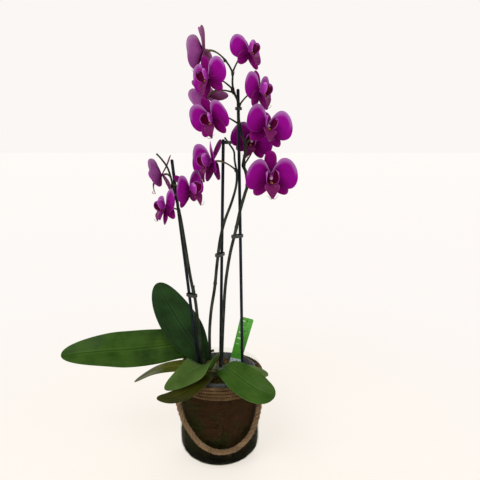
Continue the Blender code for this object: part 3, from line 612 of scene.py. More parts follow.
# ------------------------------------------------------------- growing mix
# Coarse bark chips and dried moss fill the nursery pot nearly to its rim.
BARK_TOP_Z = 0.139
mix_finish = Finish("growing_mix", 0.95, Specular_IOR_Level=0.05)
crumb = mix_finish.grain(210.0, 5.0, None, 0.6)
crumb_tone = crumb.ease(0.3, 0.75)
mix_finish.colour(
    mix_finish.grain(55.0, 3.0).ease(0.40, 0.62).blend(
        crumb_tone.blend((0.020, 0.012, 0.004), (0.19, 0.115, 0.045)),
        crumb_tone.blend((0.024, 0.022, 0.005), (0.22, 0.185, 0.045))))
mix_finish.relief(crumb, 0.0016, 1.0)
mix_foot = POT_FOOT_Z + POT_WALL + GAP
mix_profile = [(0.0, BARK_TOP_Z)] + [(0.0019 * ring, BARK_TOP_Z) for ring in range(1, 30)]
mix_profile += [
    (pot_radius(BARK_TOP_Z) - POT_WALL - 0.0004, BARK_TOP_Z - 0.001),
    (pot_radius(mix_foot) - POT_WALL - 0.0004, mix_foot),
    (0.0, mix_foot),
]
growing_mix = turned("growing_mix", mix_profile, 90, mix_finish.material)
for vert in growing_mix.data.vertices:
    if vert.co.z > BARK_TOP_Z - 0.0005:
        vert.co.z += noise.fractal(vert.co * 120.0, 0.7, 2.0, 4) * 0.0035
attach(growing_mix, "root")
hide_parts("bark_mix")

chip_finish = Finish("bark_chip", 0.9, Specular_IOR_Level=0.08)
chip_grain = chip_finish.grain(500.0, 4.0, (1.0, 0.35, 1.0))
chip_finish.colour(chip_grain.ease(0.3, 0.7).blend((0.030, 0.015, 0.007), (0.21, 0.125, 0.062)))
chip_finish.relief(chip_grain, 0.0006, 1.0)
dice = random.Random(11)
work = bmesh.new()
for chip in range(150):
    reach = 0.050 * math.sqrt(dice.random())
    turn = dice.uniform(0.0, math.tau)
    spot = Vector((
        reach * math.cos(turn), reach * math.sin(turn), BARK_TOP_Z + dice.uniform(-0.001, 0.002)))
    size = Vector((
        dice.uniform(0.003, 0.007), dice.uniform(0.002, 0.0045), dice.uniform(0.0012, 0.0026)))
    made = bmesh.ops.create_icosphere(work, subdivisions=1, radius=0.5)["verts"]
    tilt = Matrix.Rotation(dice.uniform(0, math.tau), 3, "Z")
    tilt = tilt @ Matrix.Rotation(dice.uniform(-0.5, 0.5), 3, "X")
    for vert in made:
        jag = 1.0 + 0.30 * noise.noise(vert.co * 3.0 + Vector((chip, 0.0, 0.0)))
        vert.co = spot + tilt @ (vert.co * size) * jag
chips = meshed("bark_chips", work, chip_finish.material)
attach(chips, "root")

straw = Finish("dried_moss", 0.9, Specular_IOR_Level=0.08)
straw.colour(straw.attribute("tint").ramp((
    (0.0, (0.040, 0.026, 0.008)), (0.40, (0.17, 0.105, 0.030)), (0.70, (0.24, 0.21, 0.045)),
    (1.0, (0.52, 0.38, 0.13)))))
work = bmesh.new()
bmesh.ops.create_circle(work, cap_ends=True, segments=40, radius=0.054)
for vert in work.verts:
    vert.co.z = BARK_TOP_Z + 0.0004
mix_fibres = grown(
    meshed("mix_top", work), fuzz_tree, "dried_moss", count=170000.0, length=0.0085,
    thickness=0.00014, lean=1.6, seed=31, material=straw.material)
for vert in mix_fibres.data.vertices:
    draw_in(vert, pot_radius(BARK_TOP_Z) - POT_WALL - 0.0008)
    vert.co.z = min(vert.co.z, BARK_TOP_Z + 0.007)
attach(mix_fibres, "root")

# ------------------------------------------------------------ stem base
# The short fleshy stem that leaves and spikes grow from, sheathed by the feet
# of old leaves.
CROWN_CENTRE = Vector((-0.0065, -0.0140, 0.0))
sheath = Finish("stem_base", 0.5)
sheath_lines = sheath.grain(90.0, 3.0, (1.0, 1.0, 5.0))
sheath.colour(sheath_lines.ease(0.3, 0.7).blend((0.035, 0.040, 0.014), (0.14, 0.15, 0.05)))
sheath.relief(sheath_lines, 0.0008, 0.8)
crown_profile = [
    (0.0, 0.0225), (0.0035, 0.0222), (0.0058, 0.0205), (0.0070, 0.0175), (0.0079, 0.0150),
    (0.0076, 0.0135), (0.0084, 0.0105), (0.0081, 0.0085), (0.0085, 0.0050), (0.0080, 0.0),
    (0.0072, -0.004), (0.0050, -0.011), (0.0, -0.012),
]
crown = turned("stem_base", [(r, z + BARK_TOP_Z) for r, z in crown_profile], 40, sheath.material)
for vert in crown.data.vertices:
    ridge = 1.0 + 0.06 * math.sin(5.0 * math.atan2(vert.co.y, vert.co.x) + 240.0 * vert.co.z)
    vert.co.x = vert.co.x * ridge + CROWN_CENTRE.x
    vert.co.y = vert.co.y * ridge + CROWN_CENTRE.y
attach(crown, "root")
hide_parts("crown")

# ------------------------------------------------------------------ leaves
# Thick strap leaves with a channelled midrib: dark and glossy behind, paler
# and bent over the jar's rim in front, olive where the underside shows.  The
# lowest front leaf's olive is darkened further with painted shade from the leaf above.
LEAF_THICKNESS = 0.0022
LEAVES = {   # midrib route, width, side at foot, side at tip, fold, widest, roundness
    "leaf_left_long": (
        [(-0.0240, 0.0155, 0.1545), (-0.0430, 0.0225, 0.1700), (-0.0700, 0.0225, 0.1795),
         (-0.1080, 0.0080, 0.1815), (-0.1450, -0.0150, 0.1870), (-0.1810, -0.0300, 0.1910),
         (-0.2450, -0.0400, 0.1885)],
        0.058, (0.20, 0.05, 0.95), (0.0, 0.80, 0.60), (0.14, 0.14), 0.60, 3.2),
    "leaf_upright": (
        [(-0.0225, 0.0070, 0.1560), (-0.0525, 0.0155, 0.2000), (-0.0800, 0.0240, 0.2425),
         (-0.1027, 0.033, 0.2828)],
        0.063, (0.78, 0.10, 0.60), (0.82, 0.20, 0.56), (0.12, 0.14), 0.42, 1.8),
    "leaf_left_narrow": (
        [(-0.0205, -0.0190, 0.1545), (-0.040, -0.0235, 0.1600), (-0.066, -0.0225, 0.1605),
         (-0.103, -0.011, 0.1480), (-0.1405, 0.000, 0.1235)],
        0.036, (0.12, 0.98, 0.10), (0.10, 0.98, 0.08), (0.08, 0.10), 0.50, 2.0),
    "leaf_front_left": (
        [(-0.0120, -0.0285, 0.1579), (-0.016, -0.042, 0.1700), (-0.028, -0.058, 0.1760),
         (-0.045, -0.073, 0.1722), (-0.077, -0.096, 0.1600)],
        0.052, (0.94, 0.16, 0.28), (0.84, 0.20, -0.24), (0.72, 0.10), 0.33, 1.2),
    "leaf_front_lower": (
        [(-0.0075, -0.0290, 0.1495), (-0.0150, -0.0480, 0.1593), (-0.0248, -0.0650, 0.1602),
         (-0.0445, -0.0880, 0.1526), (-0.0650, -0.1060, 0.1514), (-0.0860, -0.1150, 0.1550)],
        0.029, (0.62, -0.72, -0.18), (0.46, -0.84, -0.28), (0.04, 0.04), 0.55, 2.4),
    "leaf_front_right": (
        [(0.0040, -0.0250, 0.1600), (0.012, -0.044, 0.1680), (0.0285, -0.060, 0.1649),
         (0.0445, -0.077, 0.1603), (0.0636, -0.091, 0.1546), (0.0860, -0.098, 0.1511)],
        0.048, (0.80, 0.45, 0.36), (0.55, 0.50, 0.62), (0.14, 0.14), 0.58, 2.4),
    "leaf_right_small": (
        [(0.0070, -0.0200, 0.1560), (0.0310, -0.034, 0.1612), (0.0555, -0.042, 0.1611),
         (0.0781, -0.046, 0.1575)],
        0.030, (-0.06, 0.98, 0.10), (-0.06, 0.98, 0.10), (0.12, 0.12), 0.55, 2.6),
}
LEAF_TONES = {   # darker and lighter green of each leaf's face
    "leaf_left_long": ((0.010, 0.032, 0.003), (0.042, 0.094, 0.011)),
    "leaf_upright": ((0.005, 0.016, 0.004), (0.018, 0.050, 0.011)),
    "leaf_left_narrow": ((0.040, 0.052, 0.006), (0.100, 0.110, 0.018)),
    "leaf_front_left": ((0.030, 0.064, 0.009), (0.068, 0.122, 0.024)),
    # Olive underside tone, darkened with painted shade from the front left leaf above it.
    "leaf_front_lower": ((0.012, 0.014, 0.001), (0.042, 0.044, 0.004)),
    "leaf_front_right": ((0.014, 0.048, 0.004), (0.048, 0.104, 0.013)),
    "leaf_right_small": ((0.040, 0.078, 0.010), (0.100, 0.150, 0.030)),
}


def outline_share(u, foot, widest, roundness):
    """Half width at u as a share of the greatest: narrow foot, round tip."""
    if u < widest:
        return foot + (1.0 - foot) * math.sin(math.radians(90.0) * u / widest)
    share_out = (u - widest) / (1.0 - widest)
    return math.sqrt(max(1.0 - share_out ** roundness, 0.0))


def tip_rows(count, widest):
    """Values of u from 0 to 1, closer together towards the rounded tip."""
    rows = []
    for i in range(count + 1):
        t = i / count
        if t < 0.45:
            rows.append(widest * t / 0.45)
        else:
            rows.append(widest + (1.0 - widest) * math.sin(math.radians(90.0) * (t - 0.45) / 0.55))
    return rows


def leaf_finish(name, dark, light):
    """Waxy leaf skin: long fine veins and soft blotches, with painted shade in the midrib channel,
    painted highlight on the channel's shoulders and a thin painted highlight along the edge.
    """
    leaf = Finish(name, 0.42, Specular_IOR_Level=0.06)
    uv = leaf.sheet()
    across = (uv.axis("X") * 2.0 - 1.0).size()
    veins = leaf.grain(3.0, 3.0, uv.vector("MULTIPLY", (26.0, 1.6, 1.0)))
    blotch = leaf.grain(38.0, 3.0)
    colour = (veins * 0.45 + blotch * 0.8 + uv.axis("Y") * 0.12).ease(0.38, 0.95).blend(dark, light)
    # Painted shade darkens the midrib channel.
    channel_shade = across.ease(0.0, 0.035, 0.55, 0.0)
    colour = channel_shade.blend(colour, tuple(0.35 * c for c in dark))
    # Painted highlight on the channel's raised shoulders.
    channel_highlight = (across.ease(0.03, 0.06) * across.ease(0.06, 0.16, 1.0, 0.0)) * 0.35
    colour = channel_highlight.blend(colour, tuple(1.5 * c for c in light))
    # Painted highlight where the leaf's margin catches the light.
    edge = across.ease(0.955, 1.0) * 0.5
    leaf.colour(edge.blend(colour, tuple(1.6 * c + 0.02 for c in light)))
    leaf.roughness(blotch.ease(0.3, 0.7, 0.28, 0.46))
    leaf.relief(veins + leaf.grain(420.0, 2.0) * 0.35, 0.0003, 0.55)
    return leaf.material


def leaf_mesh(name, spec, material, seed):
    """Closed leaf: two skins over the folded midrib, meeting in a rounded edge."""
    midrib, width, side_foot, side_tip, fold, widest, roundness = spec
    rows = tip_rows(56, widest)
    columns = 28
    work = bmesh.new()
    layer = work.loops.layers.uv.new("blade")
    marks = {}
    skins = {1: [], -1: []}
    for u in rows:
        centre = spline_point(midrib, u)
        ahead = spline_point(midrib, min(u + 0.02, 1.0))
        behind = spline_point(midrib, max(u - 0.02, 0.0))
        lengthwise = (ahead - behind).normalized()
        sideways = Vector(side_foot).lerp(Vector(side_tip), u)
        sideways = (sideways - lengthwise * sideways.dot(lengthwise)).normalized()
        rise = sideways.cross(lengthwise).normalized()
        if rise.z < 0.0:
            rise = -rise
        half = width / 2 * max(outline_share(u, 0.30, widest, roundness), 0.02)
        ends = math.sqrt(max(0.0, 1.0 - u ** 14))
        crease = fold[0] + (fold[1] - fold[0]) * u
        lines = {1: [], -1: []}
        for j in range(columns + 1):
            t = j / columns * 2.0 - 1.0
            v = math.sin(math.radians(90.0) * t)
            wave = 0.035 * half * abs(v) ** 3 * math.sin(7.0 * u + seed + (2.0 if v > 0 else 0.0))
            channel = 0.0013 * math.exp(-(v / 0.05) ** 2) * ends
            spot = centre + sideways * (half * v) + rise * (crease * half * abs(v) + wave)
            thick = LEAF_THICKNESS / 2 * math.sqrt(max(0.0, 1.0 - abs(v) ** 5)) * ends
            thick *= 1.0 - 0.35 * v * v
            for face in (1, -1):
                if face == -1 and (j in (0, columns) or u == rows[-1]):
                    lines[-1].append(lines[1][j])
                    continue
                shift = thick - channel if face == 1 else -thick - 0.7 * channel
                vert = work.verts.new(spot + rise * shift)
                marks[vert] = (v / 2 + 0.5, u)
                lines[face].append(vert)
        skins[1].append(lines[1])
        skins[-1].append(lines[-1])
    for face, lines in skins.items():
        for low, high in zip(lines, lines[1:]):
            for j in range(columns):
                ring = [low[j], low[j + 1], high[j + 1], high[j]]
                work.faces.new(ring if face == 1 else ring[::-1])
    work.faces.new(skins[1][0][::-1] + skins[-1][0][1:-1])
    for face in work.faces:
        for loop in face.loops:
            loop[layer].uv = marks[loop.vert]
    bmesh.ops.recalc_face_normals(work, faces=work.faces)
    piece = meshed(name, work, material)
    piece.data.shade_smooth()
    return piece


for number, (leaf_name, leaf_spec) in enumerate(LEAVES.items()):
    blade_name = leaf_name.replace("leaf_", "leaf_blade_")
    skin_finish = leaf_finish(blade_name, *LEAF_TONES[leaf_name])
    blade = leaf_mesh(blade_name, leaf_spec, skin_finish, number * 1.7)
    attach(blade, "root")
    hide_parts(leaf_name)

# ------------------------------------------------------------- plant label
# A push-in plastic tag, green with a pale foot.  Its print is only loose dots
# and bars that spell nothing.
LABEL_WIDTH = 0.0225
LABEL_THICKNESS = 0.0007
LABEL_TOP = Vector((0.0460, 0.020, 0.2265))
LABEL_FOOT = Vector((0.0205, 0.0125, 0.1300))
label_axis = (LABEL_TOP - LABEL_FOOT).normalized()
label_length = (LABEL_TOP - LABEL_FOOT).length
label_side = Vector((0.965, 0.0, -0.262))
label_side = (label_side - label_axis * label_side.dot(label_axis)).normalized()
label_face = label_side.cross(label_axis).normalized()
tag = Finish("label_plastic", 0.32)
tag_uv = tag.sheet("tag")
tag_x = tag_uv.axis("X")
tag_y = tag_uv.axis("Y")
soft = tag.grain(120.0, 2.0)
green = (soft * 0.5 + tag_y * 0.4).ease(0.2, 0.9).blend(
    (0.055, 0.260, 0.012), (0.085, 0.400, 0.022))
spots = tag.place.node(
    "ShaderNodeTexVoronoi", {},
    {"Vector": tag_uv.vector("MULTIPLY", (4.0, 17.0, 1.0)), "Scale": 1.0, "Randomness": 0.35},
    "Distance")
printed = spots.ease(0.25, 0.33, 1.0, 0.0) * (tag_x - 0.66).size().ease(0.10, 0.16, 1.0, 0.0)
printed = printed * tag_y.ease(0.27, 0.31)
bars = (tag_y * 62.0).math("SINE").ease(0.80, 0.92)
bars = bars * (tag_x - 0.30).size().ease(0.10, 0.14, 1.0, 0.0) * tag_y.ease(0.52, 0.55)
foot_strip = tag_y.ease(0.275, 0.285, 1.0, 0.0)
foot_marks = spots.ease(0.22, 0.30, 1.0, 0.0) * foot_strip
colour = printed.blend(green, (0.010, 0.120, 0.030))
colour = bars.blend(colour, (0.62, 0.78, 0.55))
colour = foot_strip.blend(colour, (0.55, 0.62, 0.68))
tag.colour((foot_marks * 0.8).blend(colour, (0.03, 0.14, 0.16)))
tag.relief(soft, 0.0001, 0.4)
outline = [(-0.45, 0.0), (0.45, 0.0), (0.80, 0.16)]
corner = 0.003
corner_arc = [
    (1.0 - corner * (1.0 - math.cos(turn)) / (LABEL_WIDTH / 2),
     1.0 - corner * (1.0 - math.sin(turn)) / label_length)
    for turn in (math.radians(90.0) * step / 8 for step in range(9))]
outline += corner_arc + [(-x, y) for x, y in corner_arc[::-1]] + [(-0.80, 0.16)]
work = bmesh.new()
tag_layer = work.loops.layers.uv.new("tag")
flat = []
for x, y in outline:
    bow = 0.0010 * (1.0 - x * x) + 0.0016 * math.sin(math.pi * y)
    spot = LABEL_FOOT + label_side * (x * LABEL_WIDTH / 2) + label_axis * (y * label_length)
    flat.append(work.verts.new(spot + label_face * (bow - 0.0018)))
front = work.faces.new(flat)
for loop, (x, y) in zip(front.loops, outline):
    loop[tag_layer].uv = (x / 2 + 0.5, y)
extruded = bmesh.ops.extrude_face_region(work, geom=[front])
for vert in [item for item in extruded["geom"] if isinstance(item, bmesh.types.BMVert)]:
    vert.co -= label_face * LABEL_THICKNESS
bmesh.ops.recalc_face_normals(work, faces=work.faces)
label = meshed("label_tag", work, tag.material)
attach(label, "root")
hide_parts("plant_label")

# ----------------------------------------------------------------- stakes
# Three slim blue-black stakes with blunt tips, pushed 45 mm into the mix.
STAKE_RADIUS = 0.0024
STAKE_DEPTH = 0.045
STAKES = {                   # (foot above the mix, tip)
    "left": ((-0.034, 0.001, 0.150), (-0.069, 0.001, 0.488)),
    "middle": ((0.0015, 0.010, 0.150), (0.009, 0.001, 0.518)),
    "right": ((0.038, 0.006, 0.147), (0.031, 0.006, 0.591)),
}


def mark_run(piece, values):
    """Store how far along its piece each point of a mesh is."""
    run = piece.data.attributes.new("run", "FLOAT", "POINT")
    run.data.foreach_set("value", values)


def swept(name, points, radii, material, sides):
    """Closed round tube through points with a radius at each; run is 0 to 1 along it."""
    work = bmesh.new()
    rings = []
    reference = Vector((0.0, 1.0, 0.0))
    for i, (point, radius) in enumerate(zip(points, radii)):
        ahead = points[min(i + 1, len(points) - 1)]
        behind = points[max(i - 1, 0)]
        heading = (Vector(ahead) - Vector(behind)).normalized()
        reference = (reference - heading * reference.dot(heading)).normalized()
        other = heading.cross(reference)
        ring = []
        for k in range(sides):
            turn = math.tau * k / sides
            ring.append(work.verts.new(
                Vector(point) + (reference * math.cos(turn) + other * math.sin(turn)) * radius))
        rings.append(ring)
    for low, high in zip(rings, rings[1:]):
        for k in range(sides):
            work.faces.new([low[k], low[(k + 1) % sides], high[(k + 1) % sides], high[k]])
    work.faces.new(rings[0][::-1])
    work.faces.new(rings[-1])
    bmesh.ops.recalc_face_normals(work, faces=work.faces)
    piece = meshed(name, work, material)
    mark_run(piece, [(i // sides) / (len(points) - 1) for i in range(sides * len(points))])
    piece.data.shade_smooth()
    piece.data.set_sharp_from_angle(angle=math.radians(65.0))
    return piece


stake_finish = Finish("stake_plastic", 0.45, Specular_IOR_Level=0.12)
stake_grain = stake_finish.grain(80.0, 4.0, (6.0, 6.0, 0.6))
stake_finish.colour(
    stake_grain.ease(0.3, 0.75).blend((0.0030, 0.0045, 0.0075), (0.012, 0.016, 0.024)))
stake_finish.roughness(stake_grain.ease(0.2, 0.8, 0.28, 0.5))
stake_finish.relief(stake_grain, 0.0002, 0.5)


def stake_point(which, height):
    """Point on a stake's axis at a height."""
    foot, tip = (Vector(end) for end in STAKES[which])
    return foot + (tip - foot) * ((height - foot.z) / (tip.z - foot.z))


for which in STAKES:
    low = stake_point(which, BARK_TOP_Z - STAKE_DEPTH)
    high = Vector(STAKES[which][1])
    down = (low - high).normalized()
    stops = [low, high + down * 0.002]
    radii = [STAKE_RADIUS, STAKE_RADIUS]
    for turn in (25.0, 50.0, 75.0, 88.0):
        stops.append(high + down * 0.002 * (1.0 - math.sin(math.radians(turn))))
        radii.append(STAKE_RADIUS * (0.25 + 0.75 * math.cos(math.radians(turn))))
    stake = swept("stake_rod_" + which, stops, radii, stake_finish.material, 16)
    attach(stake, "root")
    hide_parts("stake_" + which)

# ---------------------------------------------------------------- flowers
# Moth-orchid flowers: a narrow upper sepal, two pointed lower sepals behind,
# two broad round petals in front, and in the middle a small dark lip with
# upright side lobes round a pale column.
PETAL_LENGTH = 0.0410        # of a full-size flower
PETAL_WIDTH = 0.0490
SEPAL_LENGTH = 0.0375
DORSAL_WIDTH = 0.0190
LATERAL_WIDTH = 0.0215
BLADE_CURL = 0.25            # how far a petal curls forward along its length
BLADE_START = 0.0009
PETAL_THICKNESS = 0.0006
LIP_SCALE = 1.30
FLOWERS = {
    # centre, (yaw, pitch, roll) in degrees, size, lift of petals, dorsal, lateral sepals
    "flower_01": ((-0.0185, 0.012, 0.6450), (-106, 1, 23), 0.98, 0.16, -0.16, -0.13),
    "flower_02": ((0.046, -0.010, 0.6420), (45, -14, 12), 0.76, -0.36, -0.58, -0.16),
    "flower_03": ((-0.010, -0.032, 0.6050), (-42, -1, -16), 0.81, -0.20, -0.05, -0.15),
    "flower_04": ((-0.014, 0.014, 0.5810), (-128, 32, 32), 0.85, 0.05, -0.05, -0.60),
    "flower_05": ((0.062, -0.010, 0.5870), (55, -4, 9), 0.83, -0.22, -0.35, -0.04),
    "flower_06": ((-0.006, -0.026, 0.5495), (-31, 18, -11), 0.84, 0.08, 0.00, 0.14),
    "flower_07": ((-0.007, -0.016, 0.4860), (-61, 1, -9), 0.96, 0.24, -0.60, -0.05),
    "flower_08": ((0.054, 0.030, 0.5160), (-14, 12, 17), 0.85, 0.16, 0.20, -0.10),
    "flower_09": ((0.073, -0.020, 0.5365), (22, -20, 17), 0.91, 0.18, -0.62, -0.05),
    "flower_10": ((0.0790, -0.026, 0.4662), (6, 12, -1), 0.98, 0.20, -0.28, 0.05),
    "flower_11": ((-0.085, 0.006, 0.4640), (-86, 10, -9), 0.87, 0.27, -0.72, -0.38),
    "flower_12": ((-0.040, -0.036, 0.4480), (60, -2, -9), 0.81, -0.10, -1.00, -0.27),
    "flower_13": ((-0.077, -0.018, 0.4180), (-60, -12, -26), 0.77, -0.12, -0.40, -0.28),
}


def flower_matrix(centre, angles, size):
    """Frame of a flower: it faces local -Y, its upper sepal points to +Z."""
    yaw, pitch, roll = (math.radians(a) for a in angles)
    turn = Matrix.Rotation(yaw, 4, "Z") @ Matrix.Rotation(pitch, 4, "X")
    turn = turn @ Matrix.Rotation(roll, 4, "Y")
    return Matrix.Translation(centre) @ turn @ Matrix.Scale(size, 4)


def petal_finish(name, deep, body, bright, rim, rim_share, vein_count):
    """Petal skin: fanned veins, a darker heart, a pale, greyed margin and painted shade along the
    lower side.
    """
    petal = Finish(name, 0.60, Specular_IOR_Level=0.04)
    uv = petal.sheet()
    across = uv.axis("X") * 2.0 - 1.0
    along = uv.axis("Y")
    out = ((along - 0.58) / 0.42).math("MAXIMUM", 0.0)
    out_square = out * out
    edge = (out_square + across * across * (1.0 - out_square)).math("SQRT")
    soft = petal.grain(75.0, 3.0)
    streak = petal.grain(4.0, 4.0, uv.vector("MULTIPLY", (17.0, 1.2, 1.0)), 0.6)
    waver = across + (petal.grain(60.0, 2.0) - 0.5) * 0.10
    comb = (waver * (math.pi * vein_count)).math("SINE").size()
    finer = (waver * (math.pi * vein_count * 2.0)).math("SINE").size()
    vein = comb.ease(0.0, 0.32, 1.0, 0.0) * 0.75
    vein = vein + finer.ease(0.0, 0.34, 1.0, 0.0) * along.ease(0.35, 0.7) * 0.35
    colour = (streak * 0.55 + soft * 0.45 + along * 0.35).ease(0.30, 1.05).blend(body, bright)
    colour = (along.ease(0.05, 0.55, 1.0, 0.0) * 0.85).blend(colour, deep)
    colour = (vein * edge.ease(0.55, 1.0, 0.55, 0.20)).blend(colour, deep)
    ragged = edge + (streak - 0.5) * 0.16 + (soft - 0.5) * 0.10
    # Darkens the lower side of each blade towards the deep colour: painted shade.
    low_side_shade = across.ease(-0.95, 0.15, 0.75, 0.0) * along.ease(0.25, 0.90, 1.0, 0.25)
    colour = low_side_shade.blend(colour, deep)
    upper = (across + out * 0.45).ease(-0.30, 0.85)
    pale = ragged.ease(0.60, 1.02) * upper * rim_share
    colour = pale.blend(colour, rim)
    hairline = edge.ease(0.965, 0.995) * 0.38
    colour = hairline.blend(colour, tuple(1.25 * c + 0.03 for c in bright))
    petal.colour(colour)
    petal.relief(streak + vein * -0.5 + petal.grain(1400.0, 1.0) * 0.25, 0.00035, 0.6)
    glow = petal.place.node("ShaderNodeBsdfTranslucent", {}, {"Color": colour})
    petal.surface(0.22, Wire(petal.tree, petal.shader.outputs[0]), glow)
    return petal.material


PETAL_FRONT = petal_finish(
    "petal_face", (0.105, 0.000, 0.062), (0.265, 0.000, 0.200), (0.370, 0.004, 0.335),
    (0.460, 0.210, 0.500), 0.92, 9)
PETAL_BACK = petal_finish(
    "petal_back", (0.200, 0.012, 0.150), (0.330, 0.060, 0.290), (0.400, 0.110, 0.370),
    (0.440, 0.260, 0.410), 0.7, 9)
SEPAL_FRONT = petal_finish(
    "sepal_face", (0.090, 0.000, 0.052), (0.165, 0.000, 0.108), (0.255, 0.001, 0.180),
    (0.300, 0.060, 0.240), 0.30, 5)
SEPAL_BACK = petal_finish(
    "sepal_back", (0.140, 0.018, 0.070), (0.270, 0.060, 0.190), (0.340, 0.110, 0.260),
    (0.400, 0.220, 0.340), 0.5, 5)


def bent_sheet(name, spot, rows, columns, thickness, materials, face_slot, mirror=False):
    """Thin closed blade from spot(u, v), its back in the next material slot."""
    work = bmesh.new()
    layer = work.loops.layers.uv.new("blade")
    grid = []
    for u in rows:
        line = []
        for j in range(columns + 1):
            v = math.sin(math.radians(90.0) * (j / columns * 2.0 - 1.0))
            line.append((work.verts.new(spot(u, v)), u, v))
        grid.append(line)
    for low, high in zip(grid, grid[1:]):
        for j in range(columns):
            ring = [low[j], low[j + 1], high[j + 1], high[j]][::-1 if mirror else 1]
            face = work.faces.new([item[0] for item in ring])
            face.smooth = True
            face.material_index = face_slot
            for loop, (vert, u, v) in zip(face.loops, ring):
                loop[layer].uv = (v / 2 + 0.5, u)
    piece = meshed(name, work, *materials)
    solid = piece.modifiers.new("thickness", "SOLIDIFY")
    solid.thickness = thickness
    solid.offset = 0.0
    solid.material_offset = 1
    return plain(piece, name)


def gathered(name, pieces):
    """Join several finished meshes into one piece."""
    first = pieces[0]
    with bpy.context.temp_override(
            active_object=first, object=first, selected_objects=pieces,
            selected_editable_objects=pieces):
        bpy.ops.object.join()
    first.name = name
    first.data.name = name
    return first


def petal_spot(
        matrix, seed, lift, length, width, around, foot, widest, roundness, cup, layer, wave):
    """Place of (u, v) on a petal whose angle from the upper sepal is around."""
    angle = math.radians(around)
    flip = -1.0 if around > 0.0 else 1.0

    def spot(u, v):
        side = v * flip
        slope = lift + BLADE_CURL * u / 2
        along = BLADE_START + (length - BLADE_START) * u * math.cos(slope)
        forward = layer + length * u * math.sin(slope)
        half = width / 2 * max(outline_share(u, foot, widest, roundness), 0.012)
        across = half * side
        forward += cup * half * v * v
        forward += wave * half * abs(v) ** 2.5 * math.sin(6.0 * u + seed + (1.7 if v > 0 else 0.0))
        forward -= 0.0009 * math.exp(-(v / 0.16) ** 2) * math.sin(math.pi * min(1.0, u * 1.15))
        return matrix @ Vector((
            along * math.sin(angle) + across * math.cos(angle),
            -forward,
            along * math.cos(angle) - across * math.sin(angle),
        ))

    return spot


def lip_finish(name, dark, light, rim):
    """Waxy lip skin: streaks and a paler rim."""
    lobe = Finish(name, 0.4, Specular_IOR_Level=0.10)
    uv = lobe.sheet()
    streak = lobe.grain(4.0, 3.0, uv.vector("MULTIPLY", (9.0, 1.5, 1.0)))
    colour = (streak + lobe.grain(220.0, 2.0) * 0.3).ease(0.4, 0.9).blend(dark, light)
    out = (uv.axis("X") * 2.0 - 1.0).size().math("MAXIMUM", uv.axis("Y"))
    lobe.colour((out.ease(0.86, 0.98) * 0.9).blend(colour, rim))
    lobe.relief(streak, 0.0003, 0.6)
    return lobe.material


LOBE_IN, LOBE_OUT, TONGUE_IN, TONGUE_OUT = (
    lip_finish(name, dark, light, rim) for name, dark, light, rim in (
        ("lobe_inside", (0.050, 0.000, 0.014), (0.120, 0.000, 0.036), (0.42, 0.07, 0.40)),
        ("lobe_outside", (0.260, 0.010, 0.240), (0.430, 0.045, 0.420), (0.50, 0.14, 0.48)),
        ("tongue_face", (0.045, 0.000, 0.012), (0.130, 0.001, 0.048), (0.24, 0.015, 0.13)),
        ("tongue_back", (0.080, 0.002, 0.040), (0.180, 0.010, 0.110), (0.26, 0.03, 0.17))))
column_skin = Finish("column_skin", 0.42, Specular_IOR_Level=0.15)
column_tone = column_skin.attribute("run") + (column_skin.grain(400.0, 2.0) - 0.5) * 0.2
column_skin.colour(column_tone.ramp((
    (0.0, (0.26, 0.01, 0.22)), (0.50, (0.40, 0.05, 0.38)), (0.80, (0.48, 0.13, 0.45)),
    (0.94, (0.66, 0.38, 0.58)))))
callus_skin = Finish("callus", 0.35, Coat_Weight=0.2)
callus_skin.colour(
    callus_skin.grain(900.0, 3.0).ease(0.42, 0.60).blend((0.36, 0.14, 0.012), (0.12, 0.012, 0.010)))
tendril_skin = Finish("tendril", 0.4)
tendril_skin.colour(
    tendril_skin.grain(300.0, 2.0).blend((0.055, 0.012, 0.020), (0.120, 0.030, 0.045)))


def small_body(name, centre, radii, matrix, material):
    """Little rounded body, such as a callus or an anther cap."""
    work = bmesh.new()
    bmesh.ops.create_icosphere(work, subdivisions=3, radius=1.0)
    for vert in work.verts:
        rough = 1.0 + 0.12 * noise.noise(vert.co * 2.2 + Vector(centre) * 900.0)
        vert.co = matrix @ (Vector(centre) + vert.co * Vector(radii) * rough)
    piece = meshed(name, work, material)
    piece.data.shade_smooth()
    return piece


def side_lobe(side, matrix):
    """Upright ear of the lip beside the column, cupped inwards."""
    rise = Vector((side * 0.60, -0.22, 0.77)).normalized()
    wide = Vector((side * 0.42, -0.86, -0.28))
    wide = (wide - rise * wide.dot(rise)).normalized()
    inward = rise.cross(wide)
    if inward.x * side > 0.0:
        inward = -inward
    start = Vector((side * 0.0022, -0.0066, -0.0056))

    def spot(u, v):
        half = 0.0074 * max(outline_share(u, 0.42, 0.55, 2.1), 0.03)
        lean = inward * (0.0052 * u * u + 0.0030 * v * v * u)
        return matrix @ (start + rise * (0.0150 * u) + wide * (half * v) + lean)

    return bent_sheet(
        "lobe", spot, tip_rows(12, 0.55), 10, 0.0005, (LOBE_IN, LOBE_OUT), 0, mirror=side < 0)


def tongue(matrix, sway):
    """Middle lobe of the lip: a keeled arrowhead that bends down."""

    def spot(u, v):
        bend = math.radians(20.0 + 50.0 * u)
        if u < 0.38:
            half = 0.0032 + 0.0054 * math.sin(math.radians(90.0) * u / 0.38)
        else:
            half = 0.0086 * (1.0 - ((u - 0.38) / 0.62) ** 1.1) + 0.0011
        along = 0.0175 * u
        return matrix @ Vector((
            half * v + sway * u * u,
            -0.0078 - along * math.cos(bend),
            -0.0070 - along * math.sin(bend) + 0.30 * half * abs(v) ** 1.5,
        ))

    return bent_sheet("tongue", spot, tip_rows(14, 0.38), 10, 0.0006, (TONGUE_IN, TONGUE_OUT), 0)


